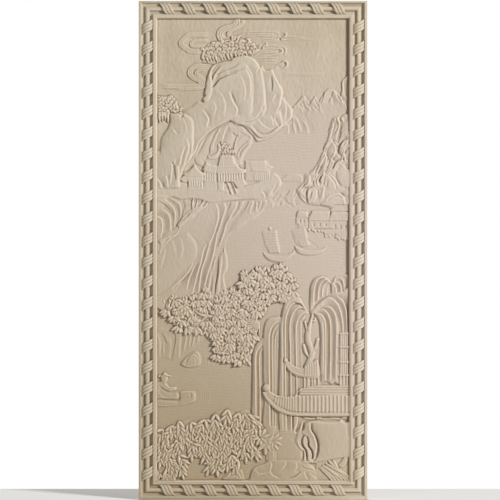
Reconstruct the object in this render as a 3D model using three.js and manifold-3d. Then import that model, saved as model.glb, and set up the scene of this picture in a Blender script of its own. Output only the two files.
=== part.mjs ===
// A carved stone wall panel: a mountain and water landscape in low relief inside a rope-twist border.
// Slab, border and carving are one piece of stone, so the model is one closed body.
//
// It is drawn lying on its back: x runs to the right, y up the panel and z out of the stone.
// At the end it is stood up, so that the front faces -Y and the back lies in the plane y = 0.
// Sizes are in millimetres.

import * as THREE from 'three';
import { mergeVertices } from 'three/addons/utils/BufferGeometryUtils.js';
import Module from 'manifold-3d';

// The whole panel
const WIDTH = 1100;
const HEIGHT = 2400;
const SLAB = 30;

// The border, from its outer edge inwards
const RIM_SIDE = 12;
const RIM_TOP = 8;
const RIM_BOTTOM = 16;
const FRAME_RISE = 17;
const CHANNEL = 58;
const CHANNEL_FLOOR = 3;
const ROD = 21;
const ROD_RISE = 16;
const FILLET = 14;
const FILLET_SLOPE = 8;

// The ribbons that wind round the rod
const BAND_WIDTH = 50;
const BAND_RISE = 24;
const BAND_END_RISE = 9;
const BAND_PITCH = 102.5;
const BAND_LEAN = 39;
const BAND_MARGIN_SIDE = 125;
const BAND_MARGIN_END = 138;

// How far each layer of the landscape stands out of the ground
const CLOUD_RISE = 4.5;
const FAR_RISE = 5;
const CLIFF_RISE = 11;
const ROCK_RISE = 9;
const BUILDING_RISE = 13;
const BOAT_RISE = 9;
const FOLIAGE_RISE = 12;
const WILLOW_RISE = 9;
const ROOF_RISE = 17;
const FIGURE_RISE = 13;

// Common details
const SLOPE = 7;
const STRAND = 11;
const LEAF_LENGTH = 34;
const LEAF_WIDTH = 15;
const LEAF_RISE = 7;
const SLAT_PITCH = 31;
const TILE_PITCH = 48;
const SINK = 2.5;

// The landscape is laid out on a field of this size and follows the real field when that changes.
const DRAWN_WIDTH = 916;
const DRAWN_HEIGHT = 2216;

const EDGE = CHANNEL + FILLET + FILLET_SLOPE;
const left = -WIDTH / 2 + RIM_SIDE;
const right = WIDTH / 2 - RIM_SIDE;
const bottom = -HEIGHT / 2 + RIM_BOTTOM;
const top = HEIGHT / 2 - RIM_TOP;
const fieldWidth = right - left - 2 * EDGE;
const fieldHeight = top - bottom - 2 * EDGE;
const fieldMiddle = (top + bottom) / 2;
const scaleX = fieldWidth / DRAWN_WIDTH;
const scaleY = fieldHeight / DRAWN_HEIGHT;

const wasm = await Module();
wasm.setup();

// A closed body from a list of [x, y, z] and a list of faces, whose corners run round anticlockwise.
function body(points, faces) {
  const triangles = [];
  for (const face of faces) {
    for (let i = 2; i < face.length; i += 1) {
      triangles.push(face[0], face[i - 1], face[i]);
    }
  }
  const mesh = new wasm.Mesh({
    numProp: 3,
    vertProperties: new Float32Array(points.flat()),
    triVerts: new Uint32Array(triangles),
  });
  return new wasm.Manifold(mesh);
}

// Rings of equal length joined into one closed body. The first and last ring are capped.
function loft(rings, cap) {
  const count = rings[0].length;
  const faces = [];
  for (let r = 0; r + 1 < rings.length; r += 1) {
    for (let i = 0; i < count; i += 1) {
      const next = (i + 1) % count;
      const a = r * count + i;
      const b = r * count + next;
      faces.push([a, b, b + count], [a, b + count, a + count]);
    }
  }
  const lastRing = (rings.length - 1) * count;
  for (const [a, b, c] of cap) {
    faces.push([c, b, a], [lastRing + a, lastRing + b, lastRing + c]);
  }
  return body(rings.flat(), faces);
}

// A smooth line through points of the landscape's layout.
function smooth(points, steps, closed = false) {
  const knots = points.map(([x, y]) => new THREE.Vector3(x * scaleX, y * scaleY + fieldMiddle, 0));
  const curve = new THREE.CatmullRomCurve3(knots, closed, 'centripetal');
  const line = curve.getPoints((points.length - (closed ? 0 : 1)) * steps);
  if (closed) {
    line.pop();
  }
  return line.map((p) => new THREE.Vector2(p.x, p.y));
}

// The unit vector to the left of a line at point i.
function sideways(line, i, closed) {
  const last = line.length - 1;
  const before = closed ? line[(i + last) % line.length] : line[Math.max(i - 1, 0)];
  const after = closed ? line[(i + 1) % line.length] : line[Math.min(i + 1, last)];
  const along = after.clone().sub(before).normalize();
  return new THREE.Vector2(-along.y, along.x);
}

// A raised form: its outline at the foot, drawn in by the slope at the top.
function mass(points, rise, { base = 0, slope = SLOPE, steps = 1 } = {}) {
  const foot = smooth(points, steps, true);
  if (THREE.ShapeUtils.isClockWise(foot)) {
    foot.reverse();
  }
  const crown = foot.map((p, i) => p.clone().addScaledVector(sideways(foot, i, true), slope));
  const cap = THREE.ShapeUtils.triangulateShape(foot, []);
  return loft([
    foot.map((p) => [p.x, p.y, SLAB + base - SINK]),
    crown.map((p) => [p.x, p.y, SLAB + base + rise]),
  ], cap);
}

// The left foot, the crest and the right foot of a ridge at point i of its line.
function ridgeSection(line, i, rise, base, width, lean) {
  const side = sideways(line, i, false);
  return [[0.5, -SINK], [lean / 2, rise], [-0.5, -SINK]].map(([share, z]) => {
    const p = line[i].clone().addScaledVector(side, width * share);
    return [p.x, p.y, SLAB + base + z];
  });
}

// A fold of rock or cloth, a cloud line or a strand: a ridge along a line, with pointed ends.
function fold(points, rise, { base = 0, width = STRAND, lean = 0, steps = 1 } = {}) {
  const line = smooth(points, steps);
  const last = line.length - 1;
  const list = [[line[0].x, line[0].y, SLAB + base - SINK]];
  for (let i = 1; i < last; i += 1) {
    list.push(...ridgeSection(line, i, rise, base, width, lean));
  }
  list.push([line[last].x, line[last].y, SLAB + base - SINK]);
  const end = list.length - 1;
  const faces = [];
  for (let k = 0; k < 3; k += 1) {
    const next = (k + 1) % 3;
    faces.push([0, 1 + next, 1 + k], [end, end - 3 + k, end - 3 + next]);
    for (let a = 1; a + 3 < end; a += 3) {
      faces.push([a + k, a + next, a + next + 3, a + k + 3]);
    }
  }
  return body(list, faces);
}

// A straight ridge with square ends, as a slat, a batten or a row of tiles.
function bar(from, to, rise, { base = 0, width = STRAND } = {}) {
  const line = smooth([from, to], 1);
  const rings = [0, 1].map((i) => ridgeSection(line, i, rise, base, width, 0));
  return loft(rings, [[0, 1, 2]]);
}

// Parallel folds either side of one line, as in a ribbon of cloud or a fall of willow.
function ribbon(points, count, pitch, rise, options = {}) {
  const line = smooth(points, 1);
  const folds = [];
  for (let k = 0; k < count; k += 1) {
    const away = (k - (count - 1) / 2) * pitch;
    const shifted = line.map((p, i) => {
      const q = p.clone().addScaledVector(sideways(line, i, false), away);
      return [q.x / scaleX, (q.y - fieldMiddle) / scaleY];
    });
    folds.push(fold(shifted, rise, options));
  }
  return folds;
}

// A leaf with a crest, from its stalk to its tip.
function leaf(x, y, angle, base, length = LEAF_LENGTH, width = LEAF_WIDTH, rise = LEAF_RISE) {
  const at = (along, across, z) => [
    x * scaleX + along * Math.cos(angle) - across * Math.sin(angle),
    y * scaleY + fieldMiddle + along * Math.sin(angle) + across * Math.cos(angle),
    SLAB + base + z,
  ];
  const points = [
    at(0, 0, -SINK),
    at(length * 0.5, -width / 2, -SINK),
    at(length, 0, -SINK),
    at(length * 0.5, width / 2, -SINK),
    at(length * 0.42, 0, rise),
  ];
  return body(points, [[0, 3, 2, 1], [0, 1, 4], [1, 2, 4], [2, 3, 4], [3, 0, 4]]);
}

// Leaves that spread from one point, over a span of angles in degrees.
function fan(x, y, count, from, to, base, length = LEAF_LENGTH, width = LEAF_WIDTH) {
  const leaves = [];
  for (let k = 0; k < count; k += 1) {
    const angle = THREE.MathUtils.degToRad(from + ((to - from) * k) / (count - 1));
    const reach = length * 0.15;
    const rootX = x + (reach * Math.cos(angle)) / scaleX;
    const rootY = y + (reach * Math.sin(angle)) / scaleY;
    leaves.push(leaf(rootX, rootY, angle, base, length, width));
  }
  return leaves;
}

// Straight ridges at even steps between two lines, as slats, battens or rows of tiles.
function bars(fromA, fromB, toA, toB, pitch, rise, options = {}) {
  const run = Math.hypot((toA[0] - fromA[0]) * scaleX, (toA[1] - fromA[1]) * scaleY);
  const count = Math.max(2, Math.round(run / pitch));
  const mix = (a, b, t) => [a[0] + (b[0] - a[0]) * t, a[1] + (b[1] - a[1]) * t];
  const made = [];
  for (let k = 0; k < count; k += 1) {
    const t = (k + 0.5) / count;
    const ends = [mix(fromA, toA, t), mix(fromB, toB, t)];
    made.push(bar(...ends, rise, { width: pitch * 0.8, ...options }));
  }
  return made;
}

// A flat-sided block with square corners, given by its corners.
function block(points, rise, { base = 0, slope = 2 } = {}) {
  const foot = points.map(([x, y]) => new THREE.Vector2(x * scaleX, y * scaleY + fieldMiddle));
  if (THREE.ShapeUtils.isClockWise(foot)) {
    foot.reverse();
  }
  const crown = foot.map((p, i) => p.clone().addScaledVector(sideways(foot, i, true), slope));
  const cap = THREE.ShapeUtils.triangulateShape(foot, []);
  return loft([
    foot.map((p) => [p.x, p.y, SLAB + base - SINK]),
    crown.map((p) => [p.x, p.y, SLAB + base + rise]),
  ], cap);
}

// The slab and its border: one section carried round the four corners.
function slabWithBorder() {
  const middle = CHANNEL / 2;
  const section = [
    [0, FRAME_RISE],
    [middle - ROD / 2, CHANNEL_FLOOR],
    [middle, ROD_RISE],
    [middle + ROD / 2, CHANNEL_FLOOR],
    [CHANNEL, FRAME_RISE],
    [CHANNEL + FILLET, FRAME_RISE],
    [EDGE, 0],
  ];
  const corners = (inX, inTop, inBottom, z) => [
    [-WIDTH / 2 + inX, -HEIGHT / 2 + inBottom, z],
    [WIDTH / 2 - inX, -HEIGHT / 2 + inBottom, z],
    [WIDTH / 2 - inX, HEIGHT / 2 - inTop, z],
    [-WIDTH / 2 + inX, HEIGHT / 2 - inTop, z],
  ];
  const rings = [corners(0, 0, 0, 0), corners(0, 0, 0, SLAB + FRAME_RISE)];
  for (const [inward, rise] of section) {
    rings.push(corners(RIM_SIDE + inward, RIM_TOP + inward, RIM_BOTTOM + inward, SLAB + rise));
  }
  return loft(rings, [[0, 1, 2], [0, 2, 3]]);
}

// One ribbon of the border, which slants across the channel and arches over the rod.
// along is the direction of the rail and across points from the rim to the landscape.
function band(centre, along, across, lean) {
  const rings = [0, 0.5, 1].map((t) => {
    const shift = t - 0.5;
    const arch = BAND_RISE - (BAND_RISE - BAND_END_RISE) * Math.abs(2 * shift);
    const ring = [];
    for (const [place, z] of [[-0.5, -SINK], [-0.36, arch], [0.36, arch], [0.5, -SINK]]) {
      const s = place * BAND_WIDTH + shift * lean;
      const u = t * CHANNEL;
      ring.push([
        centre.x + along.x * s + across.x * u,
        centre.y + along.y * s + across.y * u,
        SLAB + z,
      ]);
    }
    return ring;
  });
  const turned = along.x * across.y - along.y * across.x < 0;
  if (turned) {
    rings.reverse();
  }
  return loft(rings, [[0, 1, 2], [0, 2, 3]]);
}

// The ribbons on all four rails, spaced evenly between the corners.
function rope() {
  const bands = [];
  const rail = (middle, length, margin, along, across, lean) => {
    const run = length - 2 * margin;
    const gaps = Math.max(1, Math.round(run / BAND_PITCH));
    for (let i = 0; i <= gaps; i += 1) {
      const centre = middle.clone().addScaledVector(along, (i / gaps - 0.5) * run);
      bands.push(band(centre, along, across, lean));
    }
  };
  const rightwards = new THREE.Vector2(1, 0);
  const upwards = new THREE.Vector2(0, 1);
  const down = upwards.clone().negate();
  const leftwards = rightwards.clone().negate();
  rail(new THREE.Vector2(left, 0), HEIGHT, BAND_MARGIN_SIDE, upwards, rightwards, BAND_LEAN);
  rail(new THREE.Vector2(right, 0), HEIGHT, BAND_MARGIN_SIDE, upwards, leftwards, -BAND_LEAN);
  rail(new THREE.Vector2(0, top), WIDTH, BAND_MARGIN_END, rightwards, down, BAND_LEAN);
  rail(new THREE.Vector2(0, bottom), WIDTH, BAND_MARGIN_END, rightwards, upwards, -BAND_LEAN);
  return bands;
}

// Scrolling clouds: ribbons of three or four parallel lines that curl at their heads.
function clouds() {
  const line = { width: 15 };
  return [
    ...ribbon([[-110, 1035], [-300, 1030], [-335, 1000], [-310, 968], [-250, 964]], 2, 20, CLOUD_RISE, line),
    ...ribbon([[-105, 1108], [-82, 1085], [-130, 1066], [-158, 1038], [-125, 1012]], 2, 21, CLOUD_RISE, line),
    ...ribbon([[-205, 885], [-285, 880], [-300, 850], [-238, 812], [-255, 790], [-452, 790]], 2, 20, CLOUD_RISE, line),
    ...ribbon([[-50, 1031], [60, 1033], [122, 1012], [280, 1012]], 2, 20, CLOUD_RISE, line),
    fold([[112, 1022], [132, 1045], [158, 1030], [148, 1010]], CLOUD_RISE, line),
    fold([[28, 962], [36, 995], [68, 985], [60, 960]], CLOUD_RISE, line),
    fold([[0, 955], [90, 952], [142, 966]], CLOUD_RISE, line),
    fold([[142, 966], [110, 936], [20, 926]], CLOUD_RISE, line),
    fold([[60, 860], [120, 868], [160, 888], [140, 907]], CLOUD_RISE, line),
    ...ribbon([[120, 850], [220, 842], [325, 852]], 2, 12, CLOUD_RISE, line),
  ];
}

// Far peaks: their edges stand out and the rock behind each edge sinks back into the ground.
function farPeaks() {
  const edge = { width: 26, lean: 0.5 };
  return [
    fold([[195, 680], [215, 725], [238, 742], [265, 705], [310, 660]], FAR_RISE, edge),
    fold([[272, 705], [295, 742], [312, 700]], FAR_RISE, edge),
    fold([[312, 690], [335, 745], [370, 777], [405, 760], [440, 710]], FAR_RISE, edge),
    fold([[365, 700], [385, 738], [405, 748], [425, 715]], FAR_RISE, edge),
    fold([[205, 688], [228, 692], [246, 645]], FAR_RISE, edge),
    fold([[418, 735], [428, 780], [438, 828]], FAR_RISE, edge),
  ];
}

// The overhanging cliff at the upper middle, built up of slabs with creased faces.
function cliff() {
  const crease = { width: 20, base: CLIFF_RISE - 1 };
  return [
    mass([[-335, 668], [-275, 708], [-240, 730], [-226, 815], [-205, 885], [-150, 905], [0, 938],
      [35, 895], [55, 840], [62, 740], [66, 672], [128, 700], [188, 680], [190, 640], [150, 590],
      [75, 540], [15, 525], [-30, 580], [-90, 605], [-150, 597], [-210, 545], [-250, 480],
      [-300, 415], [-340, 420], [-350, 560]], CLIFF_RISE),
    mass([[92, 868], [130, 850], [145, 770], [140, 700], [140, 600], [75, 545], [62, 700]],
      CLIFF_RISE - 3, { steps: 2 }),
    mass([[-188, 872], [-40, 902], [-5, 850], [2, 760], [-5, 680], [-60, 642], [-150, 700],
      [-215, 765]], 4, { base: CLIFF_RISE, steps: 2 }),
    mass([[-160, 820], [-110, 842], [-50, 840], [-20, 760], [-40, 680], [-90, 650], [-190, 690],
      [-230, 738]], 3, { base: CLIFF_RISE + 4, steps: 2 }),
    fold([[30, 900], [52, 820], [58, 740], [55, 660], [10, 615]], 5, { ...crease, width: 26 }),
    fold([[95, 860], [120, 810], [141, 760], [130, 700], [112, 660]], 6, crease),
    fold([[-115, 760], [-92, 705], [-74, 675], [-88, 632]], 5, { ...crease, base: CLIFF_RISE + 3 }),
    fold([[-240, 670], [-215, 640], [-222, 600]], 5, crease),
    fold([[-95, 632], [-160, 590], [-230, 530], [-270, 455], [-325, 385]], 7, { ...crease, width: 30 }),
    fold([[-60, 598], [-20, 570], [20, 535], [75, 550], [135, 590]], 5, crease),
    fold([[142, 715], [175, 700], [190, 650], [150, 592]], 6, crease),
    fold([[215, 640], [228, 605], [234, 575]], 5, { width: 18 }),
    fold([[250, 628], [266, 590], [276, 555]], 5, { width: 18 }),
    fold([[168, 605], [172, 580], [168, 555]], 5, { width: 16 }),
    fold([[-185, 875], [-205, 830], [-212, 785]], 4, crease),
    fold([[-150, 860], [-105, 868], [-50, 888]], 4, { ...crease, base: CLIFF_RISE + 2 }),
  ];
}

// Rocks in the hollow under the cliff, and the small bush between them.
function hollowRocks() {
  const ridge = { width: 18 };
  return [
    fold([[-180, 570], [-195, 520], [-205, 470]], 6, ridge),
    fold([[-160, 512], [-156, 475], [-195, 438]], 6, ridge),
    fold([[-72, 558], [-88, 500], [-85, 440], [-60, 445], [-25, 500]], 7, ridge),
    fold([[-18, 490], [-40, 450], [-55, 408]], 6, ridge),
    mass([[-150, 525], [-110, 505], [-95, 470], [-152, 462]], 6, { steps: 2 }),
    ...fan(-124, 490, 7, 0, 309, 5, 24, 13),
  ];
}

// The tall boulder at the left edge and the folds at its foot.
function leftBoulder() {
  const ridge = { width: 20, base: 0 };
  return [
    mass([[-400, 658], [-345, 662], [-288, 630], [-284, 540], [-300, 430], [-350, 305], [-455, 300],
      [-455, 490], [-425, 570]], ROCK_RISE + 2, { steps: 2 }),
    fold([[-395, 650], [-425, 590], [-452, 500]], 5, { ...ridge, base: ROCK_RISE }),
    fold([[-300, 510], [-320, 450], [-340, 395]], 6, { ...ridge, base: ROCK_RISE }),
    fold([[-328, 490], [-345, 430], [-356, 375]], 6, { ...ridge, base: ROCK_RISE }),
    fold([[-395, 430], [-378, 395], [-370, 335]], 6, { ...ridge, base: ROCK_RISE }),
    fold([[-395, 400], [-400, 350], [-402, 308]], 6, { ...ridge, base: ROCK_RISE }),
    fold([[-452, 345], [-435, 320], [-432, 292]], 6, { ...ridge, base: ROCK_RISE }),
    fold([[-310, 610], [-300, 560], [-305, 500]], 4, { ...ridge, base: ROCK_RISE }),
  ];
}

// A crown of pine or shrub: a lumpy mass covered with short leaves on a turning spiral.
function crown(outline, centre, reach, count, stems) {
  const made = [mass(outline, FOLIAGE_RISE, { slope: 9 })];
  const golden = 2.39996;
  for (let k = 0; k < count; k += 1) {
    const r = Math.sqrt((k + 0.5) / count);
    const x = centre[0] + reach[0] * r * Math.cos(k * golden);
    const y = centre[1] + reach[1] * r * Math.sin(k * golden);
    made.push(leaf(x, y, k * golden, FOLIAGE_RISE - 2, LEAF_LENGTH, LEAF_WIDTH * 1.5));
  }
  for (const stem of stems) {
    made.push(bar(...stem, FOLIAGE_RISE, { width: 15 }));
  }
  return made;
}

function crowns() {
  const rows = [];
  for (let x = -195; x <= -60; x += 45) {
    rows.push([[x, 948], [x + 8, 898]]);
  }
  const side = [];
  for (let x = -440; x <= -400; x += 20) {
    side.push([[x, 668], [x - 4, 612]]);
  }
  return [
    ...crown([[-245, 910], [-235, 965], [-170, 1010], [-80, 1025], [-10, 1000], [26, 955],
      [-40, 926], [-105, 908], [-190, 898]], [-110, 962], [98, 40], 14, rows),
    ...crown([[-455, 738], [-400, 742], [-370, 715], [-345, 670], [-400, 655], [-455, 665]],
      [-412, 702], [42, 30], 6, side),
  ];
}

// A pavilion: a tiled roof on a body of upright slats, over a low base.
function pavilion(ridge, eave, wall, slats, base) {
  const [ridgeLeft, ridgeRight] = ridge;
  const [eaveLeft, eaveRight] = eave;
  const foot = [[eaveRight[0] - 4, base], [eaveLeft[0] + 4, base]];
  const wallTop = Math.min(eaveLeft[1], eaveRight[1]);
  return [
    block([[eaveLeft[0] + 4, wallTop + 6], [eaveRight[0] - 4, wallTop + 6], ...foot], BUILDING_RISE - 6),
    ...bars([eaveLeft[0] + 4, wallTop - 2], [eaveLeft[0] + 4, wall],
      [eaveRight[0] - 4, wallTop - 2], [eaveRight[0] - 4, wall], slats, 3, { base: BUILDING_RISE - 6 }),
    block([ridgeLeft, ridgeRight, eaveRight, eaveLeft], BUILDING_RISE, { slope: 5 }),
    fold([[eaveLeft[0] - 6, eaveLeft[1] + 8], eaveLeft, eaveRight, [eaveRight[0] + 10, eaveRight[1] + 9]],
      BUILDING_RISE + 2, { width: 10 }),
    bar(ridgeLeft, ridgeRight, BUILDING_RISE + 2, { width: 10 }),
  ];
}

function pavilions() {
  return [
    block([[-215, 415], [-168, 408], [-177, 370], [-240, 386]], BUILDING_RISE - 3, { slope: 4 }),
    block([[-240, 384], [-177, 372], [-170, 282], [-240, 292]], BUILDING_RISE - 7),
    ...pavilion([[-158, 455], [-95, 455]], [[-177, 373], [-45, 373]], 332, SLAT_PITCH, 290),
    bar([-172, 403], [-60, 403], BUILDING_RISE + 1, { width: 8 }),
    bar([-118, 325], [-98, 275], 9, { width: 9 }),
    bar([-98, 325], [-75, 280], 9, { width: 9 }),
    block([[-283, 412], [-318, 362], [-240, 360]], BUILDING_RISE - 1, { slope: 4 }),
    ...pavilion([[-308, 352], [-250, 352]], [[-322, 336], [-236, 336]], 306, SLAT_PITCH, 288),
    bar([-352, 340], [-318, 328], BUILDING_RISE - 2, { width: 12 }),
    ...pavilion([[-22, 432], [60, 432]], [[-8, 382], [76, 378]], 335, 28, 330),
    ...bars([-20, 428], [-6, 388], [60, 428], [72, 384], 20, 2, { base: BUILDING_RISE }),
    fold([[62, 432], [75, 410], [96, 394]], BUILDING_RISE, { width: 12 }),
  ];
}

// The plateau that the pavilions stand on, its stepped edge and the arched bridge to its right.
function plateau() {
  return [
    mass([[-455, 300], [-350, 300], [-240, 292], [-100, 290], [20, 320], [100, 372], [128, 352],
      [138, 315], [105, 285], [55, 262], [-30, 240], [-140, 232], [-215, 225], [-330, 240],
      [-430, 252]], ROCK_RISE - 3),
    mass([[55, 215], [78, 243], [103, 225], [97, 200]], ROCK_RISE - 3, { slope: 6 }),
    fold([[138, 343], [170, 366], [202, 368], [238, 355]], 7, { width: 12 }),
    fold([[150, 334], [185, 332], [212, 327], [238, 319]], 6, { width: 12 }),
    fold([[100, 240], [112, 256], [119, 264]], 4),
    fold([[155, 250], [172, 272], [181, 290]], 4),
    bar([135, 225], [146, 236], 4),
  ];
}

// The mountains down the right edge, with boulders at their foot.
function rightMountains() {
  const ridge = { width: 24, lean: -0.3, base: CLIFF_RISE - 2 };
  const lower = { width: 20, lean: -0.3, base: ROCK_RISE - 1 };
  return [
    mass([[458, 665], [420, 642], [388, 638], [366, 590], [352, 530], [332, 465], [300, 405],
      [252, 370], [240, 325], [205, 290], [255, 225], [330, 215], [400, 250], [458, 250]],
      CLIFF_RISE, { steps: 2, slope: 9 }),
    fold([[415, 640], [418, 590], [403, 530]], 6, ridge),
    fold([[388, 620], [384, 560], [362, 505], [335, 455]], 6, ridge),
    fold([[388, 535], [402, 480], [420, 440]], 6, ridge),
    fold([[445, 560], [430, 510], [445, 455]], 6, ridge),
    fold([[360, 430], [364, 405], [350, 372]], 6, ridge),
    fold([[330, 412], [322, 380], [315, 348]], 6, ridge),
    fold([[388, 470], [386, 420], [375, 385]], 6, ridge),
    fold([[318, 305], [328, 348], [360, 375], [398, 360], [420, 325]], 8, lower),
    fold([[400, 365], [408, 390], [445, 394]], 8, lower),
    fold([[258, 228], [266, 282], [300, 298], [345, 312]], 8, lower),
    fold([[330, 218], [350, 258], [390, 284], [440, 262]], 8, lower),
    bar([320, 292], [319, 250], 6, lower),
  ];
}

// The long folds of rock that sweep down from the plateau, with the bent tree at the left.
function strata() {
  const ridge = { width: 24, lean: -0.4, base: ROCK_RISE - 1 };
  const bank = { width: 26, lean: -0.4 };
  return [
    mass([[-200, 245], [-60, 245], [-30, 215], [-30, 130], [-110, 75], [-125, -60], [-148, -195],
      [-318, -205], [-290, -80], [-215, 40], [-185, 120]], ROCK_RISE),
    fold([[-215, 40], [-240, -40], [-262, -120], [-275, -172]], 6, ridge),
    fold([[-172, 228], [-170, 140], [-200, 30], [-220, -70], [-250, -172]], 7, ridge),
    fold([[-135, 228], [-140, 165], [-172, 75], [-190, -10], [-205, -110]], 6, ridge),
    fold([[-78, 228], [-98, 165], [-135, 105], [-165, 15], [-178, -80]], 7, ridge),
    fold([[-42, 228], [-62, 178], [-115, 98], [-148, 15], [-160, -90]], 7, ridge),
    fold([[-28, 130], [-100, 85], [-124, 20], [-122, -70], [-146, -180]], 6, ridge),
    bar([0, 238], [-10, 204], 6, bank),
    bar([15, 226], [20, 190], 5, bank),
    mass([[-320, 88], [-290, 55], [-272, 10], [-275, -35], [-330, -105], [-400, -180], [-455, -150],
      [-455, 20], [-380, 60]], ROCK_RISE - 2, { steps: 2 }),
    fold([[-310, 78], [-280, 40], [-274, -30], [-320, -92], [-395, -175]], 7,
      { ...ridge, base: ROCK_RISE - 3 }),
    fold([[-385, 50], [-380, 20], [-372, -5]], 5, { ...ridge, base: ROCK_RISE - 3 }),
    fold([[-395, 245], [-358, 205], [-353, 150]], 9, bank),
    fold([[-418, 240], [-383, 195], [-373, 130]], 9, bank),
    fold([[-442, 190], [-410, 170], [-398, 100]], 9, bank),
    fold([[-452, 155], [-435, 120], [-440, 65]], 9, bank),
    fold([[-448, 35], [-385, 68], [-355, 122], [-300, 170], [-240, 200], [-220, 238]], 17,
      { width: 32 }),
    bar([-300, 175], [-290, 248], 11, { width: 13 }),
    bar([-268, 190], [-262, 246], 11, { width: 13 }),
  ];
}

// A sailing boat: a hull with a deck line and a sail stiffened by battens.
function boat(sail, hull, deck) {
  const [headLeft, headRight, footRight, footLeft] = sail;
  return [
    block(sail, BOAT_RISE, { slope: 3 }),
    ...bars(headLeft, headRight, footLeft, footRight, SLAT_PITCH, 2.5, { base: BOAT_RISE }),
    mass(hull, BOAT_RISE + 2, { slope: 5, steps: 2 }),
    fold(deck, 3, { base: BOAT_RISE + 1, width: 9 }),
  ];
}

function boats() {
  return [
    ...boat([[42, 92], [113, 100], [133, -12], [80, -14]],
      [[50, -14], [58, -38], [95, -58], [150, -57], [188, -32], [202, -10], [190, 2], [150, -14]],
      [[62, -8], [92, -24], [140, -24], [180, -8]]),
    block([[76, 112], [90, 112], [92, 96], [74, 94]], BOAT_RISE - 2),
    ...boat([[183, 100], [253, 110], [272, 22], [238, 12]],
      [[200, 24], [208, -5], [245, -24], [310, -20], [345, 0], [358, 25], [300, 8]],
      [[212, 4], [245, -8], [300, -6], [345, 14]]),
    bar([262, 54], [308, 12], 5, { width: 8 }),
  ];
}

// The halls on the far shore, and the rocks below them.
function shore() {
  const hall = BUILDING_RISE - 3;
  return [
    block([[205, 150], [262, 150], [262, 108], [205, 108]], hall - 2),
    block([[203, 150], [217, 188], [262, 188], [266, 150]], hall + 1, { slope: 3 }),
    block([[266, 188], [370, 188], [370, 145], [256, 145]], hall + 3, { slope: 4 }),
    ...bars([270, 184], [262, 150], [366, 184], [366, 150], 24, 2.5, { base: hall + 3 }),
    block([[262, 146], [366, 146], [366, 104], [262, 104]], hall - 2),
    ...bars([275, 140], [275, 108], [362, 140], [362, 108], 29, 3, { base: hall - 3, width: 9 }),
    block([[372, 190], [458, 190], [458, 148], [362, 148]], hall + 4, { slope: 4 }),
    ...bars([378, 186], [370, 152], [456, 186], [456, 152], 24, 2.5, { base: hall + 4 }),
    block([[385, 222], [458, 222], [458, 192], [366, 190]], hall + 2, { slope: 3 }),
    block([[366, 146], [458, 146], [458, 106], [366, 106]], hall - 1),
    mass([[262, 108], [330, 104], [458, 108], [458, 62], [410, 52], [345, 68], [290, 92]],
      hall - 4),
  ];
}

// The broad-leaved trees across the middle.
function middleFoliage() {
  const clump = FOLIAGE_RISE - 2;
  const made = [
    mass([[-455, -245], [-420, -222], [-300, -218], [-240, -198], [-190, -228], [-125, -188],
      [-75, -195], [-55, -130], [15, -96], [60, -76], [110, -86], [158, -112], [200, -165],
      [184, -222], [115, -256], [72, -290], [42, -330], [20, -430], [-20, -560], [-150, -560],
      [-200, -530], [-213, -445], [-290, -406], [-385, -398], [-422, -350], [-455, -275]],
      clump, { slope: 10 }),
  ];
  const rosettes = [
    [-415, -270], [-320, -275], [-225, -270], [-360, -355], [-265, -355], [-165, -330], [-85, -290],
    [-110, -405], [-160, -495], [-70, -505], [0, -165], [95, -150], [60, -225],
  ];
  rosettes.forEach(([x, y], k) => {
    made.push(...fan(x, y, 5, k * 37, k * 37 + 288, clump - 1, 52, 27));
  });
  for (let k = 0; k < 6; k += 1) {
    const angle = THREE.MathUtils.degToRad(235 + k * 20);
    made.push(leaf(20, -345, angle, clump - 4, 66, 12));
  }
  for (const [x, lean, foot] of [[-372, -14, -520], [-345, -7, -512], [-318, -9, -475], [-280, -8, -462],
    [-428, 16, -455], [-450, 5, -505]]) {
    made.push(bar([x, -402], [x + lean, foot], 9, { width: 15 }));
  }
  return made;
}

// Hanging willows: each strand climbs from one fall, arches over and drops again.
function willows() {
  const strand = { width: 15, base: WILLOW_RISE - 3 };
  const made = [
    mass([[118, -395], [128, -290], [165, -226], [215, -220], [270, -296], [330, -228], [442, -198],
      [458, -198], [458, -640], [310, -640], [312, -520], [240, -540], [240, -860], [0, -860],
      [-8, -500], [42, -430], [52, -350], [90, -322]], WILLOW_RISE - 3, { slope: 8 }),
    mass([[272, -275], [268, -180], [300, -126], [350, -122], [375, -148], [400, -116], [458, -108],
      [458, -200], [400, -200], [330, -228]], WILLOW_RISE - 4, { slope: 8 }),
  ];
  const arches = [
    [[127, -860], [125, -360], [150, -246], [190, -222], [238, -242], [264, -292]],
    [[160, -700], [160, -330], [190, -256], [235, -266], [258, -300]],
    [[186, -700], [187, -345], [212, -288], [242, -292]],
    [[210, -690], [212, -355], [236, -312]],
    [[238, -560], [238, -350], [254, -322]],
    [[274, -296], [320, -256], [378, -232], [420, -262], [434, -400]],
    [[282, -304], [330, -268], [375, -262], [408, -320], [414, -400]],
    [[290, -310], [330, -284], [368, -298], [395, -350], [402, -640]],
    [[298, -314], [335, -306], [362, -340], [372, -640]],
    [[304, -318], [328, -340], [326, -620]],
    [[52, -840], [50, -380], [74, -334], [118, -330]],
    [[76, -650], [76, -440], [100, -362], [122, -352]],
    [[100, -650], [100, -450], [120, -392]],
    [[2, -850], [2, -500], [24, -446], [44, -436]],
    [[26, -850], [24, -520], [46, -470]],
    [[276, -270], [276, -165], [308, -128], [345, -132]],
    [[298, -262], [300, -178], [345, -150]],
    [[385, -138], [410, -122], [452, -118]],
    [[392, -150], [422, -150], [438, -192]],
    [[350, -240], [340, -185], [372, -155]],
  ];
  for (const arch of arches) {
    made.push(fold(arch, 8, strand));
  }
  made.push(fold([[290, -322], [268, -390], [268, -445], [288, -480], [312, -455]], 10, { width: 22 }));
  return made;
}

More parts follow.
